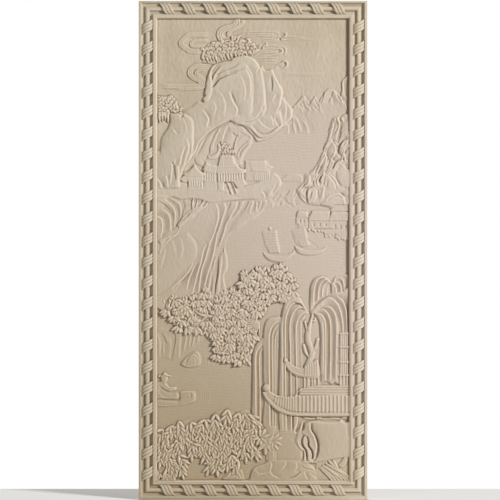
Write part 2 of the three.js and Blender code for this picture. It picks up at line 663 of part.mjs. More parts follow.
// The great house: an upper roof with an upturned horn, its storey, and the wide roof below.
function house() {
  return [
    block([[245, -605], [458, -605], [458, -675], [245, -675]], 8),
    ...bars([250, -610], [250, -668], [310, -610], [310, -668], 20, 4, { base: 8 }),
    bar([310, -652], [456, -652], 6, { base: 7, width: 12 }),
    block([[412, -405], [458, -405], [458, -640], [412, -640]], 12),
    ...bars([415, -470], [456, -470], [415, -605], [456, -605], 65, 5, { base: 11, width: 12 }),
    mass([[150, -535], [172, -530], [215, -560], [262, -552], [312, -496], [314, -608], [240, -612],
      [185, -596]], ROOF_RISE - 3, { steps: 2, slope: 4 }),
    ...bars([238, -566], [238, -600], [312, -545], [312, -600], 24, 3, { base: ROOF_RISE - 3 }),
    fold([[158, -532], [178, -562], [232, -590], [312, -598]], 5, { base: ROOF_RISE - 4, width: 14 }),
    ...fan(158, -532, 5, 0, 288, ROOF_RISE - 8, 15, 15),
    mass([[48, -680], [86, -682], [150, -706], [192, -700], [228, -662], [458, -662], [458, -800],
      [220, -799], [140, -786], [85, -742]], ROOF_RISE, { slope: 5 }),
    ...bars([212, -704], [212, -778], [456, -704], [456, -784], TILE_PITCH, 5, { base: ROOF_RISE - 1 }),
    ...bars([120, -708], [108, -738], [204, -704], [200, -776], 28, 4, { base: ROOF_RISE - 1 }),
    bar([230, -668], [456, -668], 5, { base: ROOF_RISE, width: 12 }),
    bar([232, -690], [456, -690], 5, { base: ROOF_RISE, width: 14 }),
    fold([[52, -676], [80, -724], [140, -770], [220, -790], [456, -792]], 5,
      { base: ROOF_RISE - 1, width: 18 }),
    ...fan(62, -662, 5, 0, 288, ROOF_RISE - 8, 15, 15),
    bar([208, -800], [208, -858], 9, { width: 15 }),
    block([[245, -800], [458, -800], [458, -822], [245, -822]], 8),
  ];
}

// The terrace wall, the rocks under it and the roots in the lower right corner.
function foreground() {
  const ridge = { width: 24, lean: 0.3, base: ROCK_RISE + 3 };
  const roots = [];
  for (let k = 0; k < 5; k += 1) {
    roots.push(fold([[322 + k * 18, -1052 + k * 4], [355 + k * 16, -1082 + k * 4], [375 + k * 17, -1106 + k * 3]],
      13, { width: 16 }));
  }
  return [
    block([[66, -872], [240, -872], [240, -1010], [66, -1010]], 8),
    block([[100, -848], [115, -848], [115, -1022], [100, -1022]], 14),
    mass([[245, -826], [300, -808], [458, -812], [458, -1012], [300, -1012], [240, -1050],
      [205, -930], [200, -885], [240, -870]], ROCK_RISE + 4, { slope: 9 }),
    mass([[300, -825], [452, -820], [452, -1000], [318, -1000], [316, -930], [290, -880]], 4,
      { base: ROCK_RISE + 4, slope: 9 }),
    fold([[232, -900], [246, -955], [266, -1000]], 6, ridge),
    fold([[262, -895], [288, -960], [290, -1008]], 6, ridge),
    fold([[278, -832], [288, -885], [314, -940], [300, -1005]], 6, ridge),
    mass([[72, -1014], [5, -1045], [-22, -1106], [240, -1106], [235, -1050], [200, -1020]],
      ROCK_RISE + 1, { steps: 2 }),
    fold([[90, -1028], [86, -1060], [96, -1082]], 6, { width: 20, base: ROCK_RISE }),
    fold([[165, -1020], [148, -1046], [130, -1068]], 6, { width: 20, base: ROCK_RISE }),
    fold([[232, -1060], [205, -1088], [170, -1104]], 6, { width: 20, base: ROCK_RISE }),
    mass([[-156, -1106], [-120, -1070], [-88, -1055], [-60, -1062], [-48, -1106]], ROCK_RISE),
    ...roots,
    leaf(372, -1012, -0.65, 0, 90, 34, ROCK_RISE + 8),
    mass([[-350, -556], [-315, -505], [-275, -480], [-248, -505], [-243, -560], [-300, -572]], 10),
    fold([[-312, -516], [-288, -500], [-270, -530], [-270, -556]], 4, { base: 9, width: 14 }),
  ];
}

// The fisherman in a wide hat, sitting in a low boat. The face is turned down and plain.
function fisherman() {
  return [
    mass([[-455, -682], [-345, -684], [-275, -682], [-280, -732], [-350, -752], [-455, -752]], 9,
      { slope: 5 }),
    mass([[-458, -612], [-432, -632], [-402, -662], [-362, -700], [-372, -722], [-455, -712]],
      FIGURE_RISE, { steps: 2, slope: 8 }),
    fold([[-425, -645], [-398, -668], [-372, -658]], 6, { base: FIGURE_RISE - 2, width: 20 }),
    mass([[-436, -604], [-412, -602], [-408, -628], [-426, -636]], FIGURE_RISE - 1, { slope: 6 }),
    mass([[-452, -600], [-424, -586], [-390, -610], [-424, -606]], FIGURE_RISE + 4, { slope: 4 }),
    bar([-372, -652], [-318, -640], 4, { width: 7 }),
    fold([[-350, -690], [-300, -695], [-272, -700]], 5, { base: 8, width: 12 }),
  ];
}

// The drooping leaves across the lower left, fan over fan.
function lowerFoliage() {
  const clump = FOLIAGE_RISE - 2;
  const made = [
    mass([[-455, -880], [-415, -870], [-345, -825], [-265, -842], [-210, -806], [-110, -770],
      [-20, -774], [60, -850], [52, -940], [-10, -985], [-70, -1000], [-100, -1050], [-150, -1080],
      [-220, -1052], [-265, -990], [-335, -1005], [-358, -1085], [-455, -1092]],
      clump, { slope: 10 }),
  ];
  const apexes = [
    [-415, -885], [-340, -850], [-255, -860], [-155, -800], [-60, -800], [-300, -935], [-190, -895],
    [-100, -890], [-20, -880], [-400, -970], [-190, -985], [-95, -970],
  ];
  apexes.forEach(([x, y], k) => {
    made.push(...fan(x, y, 4, 215 + (k % 3) * 8, 320 + (k % 2) * 10, clump - 1, 66, 22));
  });
  made.push(...fan(85, -920, 6, 20, 320, 7, 62, 30));
  return made;
}

// Everything outside the field that the carving runs on to is cut off at the border's fillet.
function fieldBox() {
  const reach = FILLET * 0.5;
  const x = fieldWidth / 2 + FILLET_SLOPE + reach;
  const y = fieldHeight / 2 + FILLET_SLOPE + reach;
  const ring = (z) => [
    [-x, fieldMiddle - y, z],
    [x, fieldMiddle - y, z],
    [x, fieldMiddle + y, z],
    [-x, fieldMiddle + y, z],
  ];
  return loft([ring(0), ring(SLAB + 2 * BAND_RISE)], [[0, 1, 2], [0, 2, 3]]);
}

function panelBody() {
  const carving = wasm.Manifold.union([
    ...clouds(),
    ...farPeaks(),
    ...cliff(),
    ...hollowRocks(),
    ...leftBoulder(),
    ...crowns(),
    ...plateau(),
    ...pavilions(),
    ...rightMountains(),
    ...strata(),
    ...boats(),
    ...shore(),
    ...middleFoliage(),
    ...willows(),
    ...house(),
    ...foreground(),
    ...fisherman(),
    ...lowerFoliage(),
  ]);
  const border = wasm.Manifold.union([slabWithBorder(), ...rope()]);
  return border.add(carving.intersect(fieldBox()));
}

// The body's triangles as a geometry for display.
function geometryOf(solid) {
  const mesh = solid.getMesh();
  const geometry = new THREE.BufferGeometry();
  geometry.setAttribute('position', new THREE.BufferAttribute(new Float32Array(mesh.vertProperties), 3));
  geometry.setIndex(new THREE.BufferAttribute(new Uint32Array(mesh.triVerts), 1));
  return mergeVertices(geometry);
}

const sandstone = new THREE.MeshStandardMaterial({ color: 0xcdbfa6, roughness: 0.9, metalness: 0 });

const panel = new THREE.Mesh(geometryOf(panelBody()), sandstone);
panel.name = 'relief_panel';
panel.rotation.x = Math.PI / 2;

const group = new THREE.Group();
group.add(panel);

export default group;
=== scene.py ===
"""A carved sandstone wall panel: mountains, pavilions, boats, willows and a tiled house in low
relief inside a rope-twist border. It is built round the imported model, in metres."""

import math

import bpy
import numpy as np
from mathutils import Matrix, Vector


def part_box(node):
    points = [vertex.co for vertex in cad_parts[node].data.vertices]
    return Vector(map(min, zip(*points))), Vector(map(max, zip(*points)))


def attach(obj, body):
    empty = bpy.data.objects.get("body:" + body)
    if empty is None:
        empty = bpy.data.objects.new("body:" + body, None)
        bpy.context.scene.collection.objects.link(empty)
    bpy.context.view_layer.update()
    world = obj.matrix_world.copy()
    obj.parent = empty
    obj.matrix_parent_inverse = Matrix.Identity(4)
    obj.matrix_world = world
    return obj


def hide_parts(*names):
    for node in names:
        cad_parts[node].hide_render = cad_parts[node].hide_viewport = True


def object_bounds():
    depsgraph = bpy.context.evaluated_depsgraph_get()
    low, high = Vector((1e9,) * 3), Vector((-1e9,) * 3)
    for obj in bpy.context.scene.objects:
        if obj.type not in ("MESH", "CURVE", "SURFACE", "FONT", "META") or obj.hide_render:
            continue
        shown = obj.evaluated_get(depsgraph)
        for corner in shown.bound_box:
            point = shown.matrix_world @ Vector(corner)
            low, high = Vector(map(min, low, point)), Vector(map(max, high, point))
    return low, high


bl_info = {
    "name": "Carved Stone Panel",
    "version": (1, 0, 0),
    "blender": (4, 5, 0),
    "location": "View3D > Sidebar > Stone Panel",
    "description": "Builds a tall relief-carved stone panel with a rope-twist border",
    "category": "Add Mesh",
}

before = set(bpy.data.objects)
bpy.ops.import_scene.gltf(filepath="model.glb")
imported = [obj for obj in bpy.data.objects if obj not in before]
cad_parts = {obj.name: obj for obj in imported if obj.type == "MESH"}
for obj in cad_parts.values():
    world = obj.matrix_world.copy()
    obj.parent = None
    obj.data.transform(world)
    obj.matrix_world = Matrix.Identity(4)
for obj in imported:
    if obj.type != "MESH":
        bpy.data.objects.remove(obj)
CAD_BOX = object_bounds()
NODE = "relief_panel"
LOW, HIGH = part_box(NODE)
WIDTH = (HIGH[0] - LOW[0]) * 1000
HEIGHT = (HIGH[2] - LOW[2]) * 1000
DEPTH = (HIGH[1] - LOW[1]) * 1000
MM = 0.001

# The border's section, from the outer edge inwards, in millimetres
SLAB = 30.0
RIM_SIDE, RIM_TOP, RIM_BOTTOM = 12.0, 8.0, 16.0
FRAME_RISE = 17.0
CHANNEL = 58.0
FLOOR = 3.0
COVE = 14.0
ROD = 21.0
ROD_RISE = 16.0
FILLET = 14.0
SLOPE = 8.0
SEAM = 8.0          # the carved field starts this far in from the fillet's outer edge
RECESS = -4.0       # the sunk bed of the carved field, below its ground
ARRIS = 1.6         # the rounding of the block's edges
COVE_STEPS, ROD_STEPS = 7, 14
NARROW = 0.02       # the least step inwards where the section turns sharply

# The ribbons that wind round the rod
BAND = 50.0
BAND_RISE = 23.4
BAND_END = 8.0
STRANDS = 3
STRAND_GROOVE = 4.2
BAND_SKIRT = 12.0   # how far a ribbon's sides run into the rod and the channel
SIDE_REACH, SIDE_GAPS = 1075.0, 21
END_REACH, END_GAPS = 412.0, 8

# How a carved form lies on its ground
AROUND = 26         # how far round a form the ground still answers to it
FOLD_DEPTH = 1.25   # how deep the overlaps are cut, against their listed depths
FOLD_SPREAD = 1.35  # how wide they are, against their listed widths
CLIMB_DROP = 0.65   # the share of its rise that a climbing slab lacks at its low side
DEEPEST = -2.2      # the lowest cut before the tool marks
DEEPEST_MARK = -2.6

# How deep in a hollow a place counts as, for the painted light and shade: 0 stands proud and
# gets a painted highlight, 1 is deep and gets painted shade
OPEN = 0.5
FLOOR_SHADE, RIM_TINT, PROUD_HIGHLIGHT = 0.68, 0.46, 0.3

# Lamps: name, place, aim and size in metres, power in watts, colour
LAMPS = (
    ("key", (9.6, -8.4, 4.8), (0, 0, 0.1), 2.2, 1830, (1.0, 0.99, 0.97)),
    ("fill", (-4.0, -5.5, 2.6), (0, 0, 0.3), 3.0, 42, (1.0, 0.97, 0.92)),
    ("back", (-2.0, 5.0, 3.0), (0, 0, 0), 4.0, 200, (1, 1, 1)),
)
CAMERA_DISTANCE = 12.0
VIEW_SPAN = 2.405   # metres across the square picture, at the panel's front
VIEW_X, VIEW_Z = -0.0144, 0.0012
SENSOR = 36

MIDDLE = (RIM_BOTTOM - RIM_TOP) / 2
FIELD_X = WIDTH / 2 - RIM_SIDE - CHANNEL - FILLET - SLOPE
FIELD_Z = (HEIGHT - RIM_TOP - RIM_BOTTOM) / 2 - CHANNEL - FILLET - SLOPE


class PanelSizes(bpy.types.PropertyGroup):
    """Sizes of the carving that a user may change."""

    cell: bpy.props.FloatProperty(
        name="Cell", description="Spacing of the carved surface's points", default=0.0022,
        min=0.001, max=0.02, unit="LENGTH")
    band: bpy.props.FloatProperty(
        name="Ribbon width", description="Width of each ribbon along its rail",
        default=BAND * MM, unit="LENGTH")
    groove: bpy.props.FloatProperty(
        name="Strand groove", description="Depth between the strands of a ribbon",
        default=STRAND_GROOVE * MM, unit="LENGTH")
    tooling: bpy.props.FloatProperty(
        name="Tool marks", description="Height of the fine tool marks on the ground",
        default=0.00035, unit="LENGTH")


class PanelFinish(bpy.types.PropertyGroup):
    """Colours of the stone, and of the light and shade painted on it."""

    light: bpy.props.FloatVectorProperty(
        name="Light stone", description="Colour of the open surface", subtype="COLOR",
        size=3, default=(0.60, 0.53, 0.41))
    warm: bpy.props.FloatVectorProperty(
        name="Warm stone", description="Colour of the darker veins", subtype="COLOR",
        size=3, default=(0.52, 0.435, 0.32))
    # Colours of a painted fall of light: greyer light over the middle right, shade at the lower
    # left
    painted_grey_light: bpy.props.FloatVectorProperty(
        name="Painted grey light", description="Colour of the greyer light painted over the middle right", subtype="COLOR",
        size=3, default=(0.605, 0.517, 0.437))
    painted_low_shade: bpy.props.FloatVectorProperty(
        name="Painted low shade", description="Colour of the shade painted towards the lower left", subtype="COLOR",
        size=3, default=(0.395, 0.32, 0.214))
    # Painted shade, dark and warm, in the cuts and hollows
    hollow_shade: bpy.props.FloatVectorProperty(
        name="Painted shade in hollows", description="Colour of the shade painted in the cuts and hollows", subtype="COLOR",
        size=3, default=(0.27, 0.155, 0.08))
    # Rubbed pale edges, with a painted highlight on what stands proud
    edge: bpy.props.FloatVectorProperty(
        name="Rubbed edges and painted highlight", description="Colour of the edges that stand proud", subtype="COLOR",
        size=3, default=(0.72, 0.65, 0.55))


def smoothstep(t):
    """From 0 to 1 with soft ends."""
    t = np.clip(t, 0.0, 1.0)
    return t * t * (3 - 2 * t)


def curve(points, closed=False, steps=5):
    """A smooth line through points, as an array of x and z."""
    p = np.array(points, dtype=float)
    n = len(p)
    if n == 2 and not closed:
        return p
    spans = n if closed else n - 1
    t = np.linspace(0, 1, steps, endpoint=False)[:, None]
    out = []
    for i in range(spans):
        if closed:
            a, b, c, d = (p[(i + k - 1) % n] for k in range(4))
        else:
            a, b, c, d = (p[min(max(i + k - 1, 0), n - 1)] for k in range(4))
        out.append(0.5 * (2 * b + (c - a) * t + (2 * a - 5 * b + 4 * c - d) * t ** 2
                          + (3 * b - a - 3 * c + d) * t ** 3))
    if not closed:
        out.append(p[-1:])
    return np.concatenate(out)


def blur(h, radius):
    """Three box blurs, close to a gaussian."""
    r = max(1, int(round(radius)))
    for axis in (0, 1):
        for _ in range(3):
            pad = [(0, 0), (0, 0)]
            pad[axis] = (r + 1, r)
            s = np.cumsum(np.pad(h, pad, mode="edge"), axis=axis)
            n = h.shape[axis]
            top = np.take(s, range(2 * r + 1, 2 * r + 1 + n), axis=axis)
            h = (top - np.take(s, range(n), axis=axis)) / (2 * r + 1)
    return h


class Relief:
    """The height of the carved front above its ground, in millimetres, on an even grid."""

    def __init__(self, half_x, low_z, high_z, cell):
        self.nx = int(round(2 * half_x / cell)) + 1
        self.nz = int(round((high_z - low_z) / cell)) + 1
        self.x = np.linspace(-half_x, half_x, self.nx)
        self.z = np.linspace(low_z, high_z, self.nz)
        self.h = np.zeros((self.nz, self.nx))
        self.drilled = np.zeros((self.nz, self.nx))

    def window(self, low, high):
        """Slices and coordinates of the grid between two corners, or None off the panel."""
        a, b = np.searchsorted(self.x, (low[0], high[0]))
        c, d = np.searchsorted(self.z, (low[1], high[1]))
        if a >= b or c >= d:
            return None
        x, z = np.meshgrid(self.x[a:b], self.z[c:d])
        return (slice(c, d), slice(a, b)), x, z


def near(line, x, z, closed=False):
    """For each place: its distance to a line, how far along it lies (0 to 1), and its side."""
    ends = np.roll(line, -1, axis=0) if closed else line[1:]
    starts = line if closed else line[:-1]
    lengths = np.hypot(*(ends - starts).T)
    total = max(lengths.sum(), 1e-9)
    best = np.full(x.shape, 1e9)
    share = np.zeros(x.shape)
    side = np.ones(x.shape)
    gone = 0.0
    for (ax, az), (bx, bz), length in zip(starts, ends, lengths):
        if length < 1e-9:
            continue
        ux, uz = (bx - ax) / length, (bz - az) / length
        dx, dz = x - ax, z - az
        t = np.clip(dx * ux + dz * uz, 0, length)
        d = np.hypot(dx - t * ux, dz - t * uz)
        closer = d < best
        best = np.where(closer, d, best)
        share = np.where(closer, (gone + t) / total, share)
        side = np.where(closer, np.sign(ux * dz - uz * dx), side)
        gone += length
    return best, share, side


def inside(line, x, z):
    """True within a closed line."""
    result = np.zeros(x.shape, dtype=bool)
    for (ax, az), (bx, bz) in zip(line, np.roll(line, -1, axis=0)):
        if az == bz:
            continue
        crosses = (z >= min(az, bz)) & (z < max(az, bz))
        at = ax + (z - az) * (bx - ax) / (bz - az)
        result ^= crosses & (x < at)
    return result


def stroke(form, x, z, points, amount, left, right=None, sharp=1.3, taper=0.5):
    """Adds a ridge, or a groove where the amount is below nought, along a line.
    It reaches left and right of the line by different widths."""
    line = curve(points)
    right = left if right is None else right
    reach = max(left, right)
    low, high = line.min(axis=0) - reach, line.max(axis=0) + reach
    cols = (x[0] >= low[0]) & (x[0] <= high[0])
    rows = (z[:, 0] >= low[1]) & (z[:, 0] <= high[1])
    if not cols.any() or not rows.any():
        return
    pick = np.ix_(rows, cols)
    d, share, side = near(line, x[pick], z[pick])
    width = np.where(side > 0, left, right)
    ends = np.clip(np.sin(np.pi * np.clip(share, 0, 1)), 0, 1) ** taper if taper else 1.0
    form[pick] += amount * ends * np.clip(1 - d / width, 0, 1) ** sharp


def shape(relief, points, rise, edge=7, dome=0.0, dome_width=40, folds=(), lean=(0, 0), gap=1.5,
          hard=False, basin=2.0, cut=1.0, climb=0):
    """Lays one raised form over what is there: its outline, its rounded edge and its folds.
    Each fold is (points, amount, width). The stone around it sinks a little."""
    line = np.array(points, dtype=float) if hard else curve(points, closed=True)
    low, high = line.min(axis=0), line.max(axis=0)
    found = relief.window(low - AROUND, high + AROUND)
    if found is None:
        return
    where, x, z = found
    d, _, _ = near(line, x, z, closed=True)
    within = inside(line, x, z)
    depth = np.where(within, d, 0)
    form = rise + dome * (1 - np.exp(-depth / dome_width))
    middle, span = (low + high) / 2, (high - low) / 2
    form = form + lean[0] * (x - middle[0]) / span[0] + lean[1] * (z - middle[1]) / span[1]
    for fold in folds:
        crease(form, x, z, fold[0], fold[1] * cut, FOLD_SPREAD * max(fold[2:]))
    if climb:
        first = np.take_along_axis(x, np.argmax(within, axis=1)[:, None], axis=1)
        form = form - CLIMB_DROP * rise * blur(np.exp(-2.2 * np.clip((x - first) / climb, 0, 2)), 3)
    cover = np.where(within, smoothstep(depth / (edge * (1 if hard else 1.25)) + 0.12), 0)
    sunk = (0.5 * gap * np.clip(1 - d / 4.5, 0, 1)
            + 0.5 * basin * np.exp(-d / 9) * np.clip(relief.h[where] / 5, 0.1, 1))
    h = relief.h[where] - np.where(within, 0, sunk)
    relief.h[where] = h * (1 - cover) + np.maximum(form, 0.6) * cover


def ridges(relief, folds):
    """Folds laid straight on what is there."""
    for fold in folds:
        line = curve(fold[0])
        reach = max(fold[2], fold[3] if len(fold) > 3 else 0)
        found = relief.window(line.min(axis=0) - reach, line.max(axis=0) + reach)
        if found:
            where, x, z = found
            stroke(relief.h[where], x, z, *fold)


def leaf(relief, x0, z0, angle, length, width, base, rise, vein=0.0, gap=3.0, plump=0.6):
    """One leaf laid over what is there: round-backed, or keeled along its middle."""
    found = relief.window((x0 - length, z0 - length), (x0 + length, z0 + length))
    if found is None:
        return
    where, x, z = found
    c, s = math.cos(angle), math.sin(angle)
    u = ((x - x0) * c + (z - z0) * s) / length
    v = -(x - x0) * s + (z - z0) * c
    along = np.clip(u, 0, 1)
    half = width / 2 * np.sin(np.pi * along ** 0.85) ** plump + 0.01
    over = (u > 0) & (u < 1) & (np.abs(v) < half)
    across = np.clip(np.abs(v) / half, 0, 1)
    back = np.sqrt(1 - across ** 2) if vein == 0 else 1 - across
    form = base + rise * (0.3 + 0.7 * back) * (0.6 + 0.4 * np.sin(np.pi * along))
    h = relief.h[where]
    ring = (u > -0.04) & (u < 1.04) & ~over
    h = h - gap * np.where(ring, np.clip(1 - (np.abs(v) - half) / 3.2, 0, 1), 0)
    relief.h[where] = np.where(over, np.maximum(form, h * 0.6), h)


def fan(relief, x, z, count, start, end, length, width, base, rise, rng, away=0.12, vein=0.0,
        gap=3.0, plump=0.6):
    """Leaves that spread from one point, between two angles in degrees."""
    for k in rng.permutation(count):
        angle = math.radians(start + (end - start) * (k + 0.5) / count + rng.uniform(-9, 9))
        size = rng.uniform(0.8, 1.15)
        leaf(relief, x + away * length * math.cos(angle), z + away * length * math.sin(angle),
             angle, length * size, width * size, base + rng.uniform(-1, 1), rise, vein, gap, plump)


def straight(relief, corner_a, corner_b, corner_c, corner_d, count, amount, width):
    """Even straight ridges from the line a-b to the line c-d, as slats, battens or tiles."""
    a, b, c, d = (np.array(p, dtype=float) for p in (corner_a, corner_b, corner_c, corner_d))
    for k in range(count):
        t = (k + 0.5) / count
        ends = [a + (b - a) * t, c + (d - c) * t]
        ridges(relief, [(ends, amount, width, width, 1.0, 0)])


def scroll(relief, points, count, pitch, rise):
    """A ribbon of cloud: a low bed with parallel raised lines on it."""
    line = curve(points, steps=8)
    half = count * pitch / 2
    reach = half + 6
    where, x, z = relief.window(line.min(axis=0) - reach, line.max(axis=0) + reach)
    d, share, side = near(line, x, z)
    ends = smoothstep(np.minimum(share, 1 - share) * 9)
    cover = smoothstep((half - d) / 3 + 0.3) * (d < half) * ends
    across = (side * d / pitch + count / 2) % 1.0
    form = rise * (0.35 + 0.65 * np.sin(np.pi * across) ** 0.9)
    h = relief.h[where] - 1.3 * np.exp(-np.abs(d - half - 1) / 3) * ends
    relief.h[where] = h * (1 - cover) + (np.maximum(relief.h[where], 0) * 0.3 + form) * cover


def draw_sky(relief):
    """Scrolling clouds at the top."""
    scroll(relief, [(-205, 1040), (-296, 1039), (-322, 1028), (-348, 998), (-330, 977), (-308, 963),
                    (-285, 959), (-235, 959)], 3, 9, 4.2)
    scroll(relief, [(-210, 1012), (-272, 1010), (-296, 1000), (-298, 988), (-282, 982),
                    (-226, 984)], 2, 8, 4.2)
    lines(relief, [[(-300, 1010), (-288, 998), (-298, 988)]])
    scroll(relief, [(-92, 1118), (-78, 1102), (-84, 1086), (-104, 1074), (-138, 1066), (-158, 1050),
                    (-158, 1028), (-140, 1012)], 3, 11.5, 6.5)
    scroll(relief, [(-56, 1116), (-50, 1098), (-66, 1078), (-100, 1060), (-118, 1044),
                    (-112, 1024)], 2, 9.5, 6.5)
    scroll(relief, [(-205, 884), (-270, 886), (-296, 874), (-304, 852), (-290, 834), (-262, 820),
                    (-244, 806), (-256, 792), (-300, 790), (-458, 792)], 3, 9, 5.5)
    scroll(relief, [(-214, 866), (-256, 868), (-276, 856), (-262, 842), (-236, 824), (-228, 806),
                    (-244, 784), (-300, 778), (-380, 776)], 2, 8.5, 4.5)
    lines(relief, [[(-60, 1050), (20, 1054), (100, 1053), (126, 1044)],
                   [(-54, 1040), (30, 1043), (100, 1041)], [(-46, 1029), (30, 1033), (116, 1030)],
                   [(0, 1018), (60, 1020), (125, 1015), (200, 1018), (288, 1016)],
                   [(150, 1028), (190, 1028), (250, 1024)], [(40, 1008), (90, 1008), (128, 1006)]],
          5.4, 4.6)
    lines(relief, [[(60, 982), (100, 986), (134, 980)], [(44, 972), (90, 974), (124, 968)],
                   [(48, 950), (84, 953), (116, 955)], [(16, 924), (70, 929), (120, 926)],
                   [(24, 912), (80, 916), (118, 911)], [(34, 900), (80, 903), (112, 898)],
                   [(140, 854), (220, 853), (300, 854), (322, 858)],
                   [(138, 843), (220, 844), (298, 845), (344, 851)]], 5.2, 4.6)
    ridges(relief, [([(118, 1016), (122, 1030), (134, 1024)], 6, 5, 5),
                    ([(134, 1016), (146, 1028), (158, 1034), (156, 1046), (148, 1044)], 10, 6, 6),
                    ([(124, 1010), (136, 1010), (150, 1016), (162, 1030)], 4, 5, 5),
                    ([(28, 976), (32, 988), (44, 980)], 6, 5, 5),
                    ([(44, 968), (52, 984), (64, 988), (64, 998), (56, 1000)], 9, 6, 6),
                    ([(112, 970), (130, 972), (141, 960), (132, 948), (104, 942), (20, 934)],
                     8, 7, 7),
                    ([(130, 984), (150, 978), (158, 960), (150, 938)], 6, 6, 6),
                    ([(112, 894), (136, 900), (150, 912), (164, 902), (160, 886), (142, 874)],
                     10, 7, 7),
                    ([(100, 884), (122, 888), (136, 896)], 4, 5, 5)])
    ridges(relief, [([(116, 960), (128, 961)], -8, 8, 8, 1, 0.2), ([(120, 882), (134, 884)],
                                                                   -8, 8, 8, 1, 0.2),
                    ([(126, 1020), (131, 1014)], -7, 7, 7, 1, 0.2),
                    ([(36, 974), (41, 968)], -7, 7, 7, 1, 0.2)])


def draw_far_peaks(relief):
    """Peaks in the distance, fading downwards into the haze."""
    outlines = [
        [(414, 640), (420, 700), (423, 750), (428, 772), (427, 806), (440, 828), (480, 835),
         (480, 640)],
        [(275, 640), (312, 696), (322, 724), (334, 742), (346, 764), (362, 776), (382, 776),
         (398, 767), (414, 750), (430, 728), (448, 700), (450, 640)],
        [(262, 640), (276, 708), (288, 728), (300, 742), (312, 722), (326, 696), (330, 640)],
        [(170, 640), (194, 690), (206, 706), (222, 726), (240, 744), (253, 738), (262, 720),
         (276, 702), (292, 688), (318, 662), (320, 640)],
    ]
    for outline in outlines:
        line = curve(outline, closed=True)
        where, x, z = relief.window(line.min(axis=0), line.max(axis=0))
        d, _, _ = near(line, x, z, closed=True)
        within = inside(line, x, z)
        fade = smoothstep((z - 648) / 60)
        form = 5.5 * np.exp(-d / 15) * np.clip(d / 3 + 0.2, 0, 1) + 1.5
        cover = np.where(within, smoothstep(d / 3 + 0.2), 0) * fade
        h = relief.h[where] - np.where(within, 0, 1.5 * np.exp(-d / 6)) * fade
        relief.h[where] = h * (1 - cover) + form * cover
    creases(relief, [
        ([(205, 694), (225, 722), (243, 736)], -4, 8),
        ([(248, 734), (253, 712), (262, 694), (276, 680)], 5, 9),
        ([(226, 700), (236, 708), (244, 690), (250, 668)], 4, 10),
        ([(206, 688), (222, 696), (236, 684), (242, 662)], 4, 9),
        ([(262, 700), (274, 690), (280, 672)], 4, 9), ([(290, 735), (306, 700), (316, 682)], 4, 9),
        ([(346, 762), (338, 730), (326, 704)], -4, 9),
        ([(388, 768), (378, 738), (362, 708)], -4, 9),
        ([(398, 762), (406, 738), (420, 716)], 5, 10), ([(420, 744), (430, 724), (436, 702)], 4, 9),
        ([(370, 748), (382, 722), (384, 700)], 4, 10), ([(434, 820), (438, 780), (440, 740)], 4, 9),
    ])


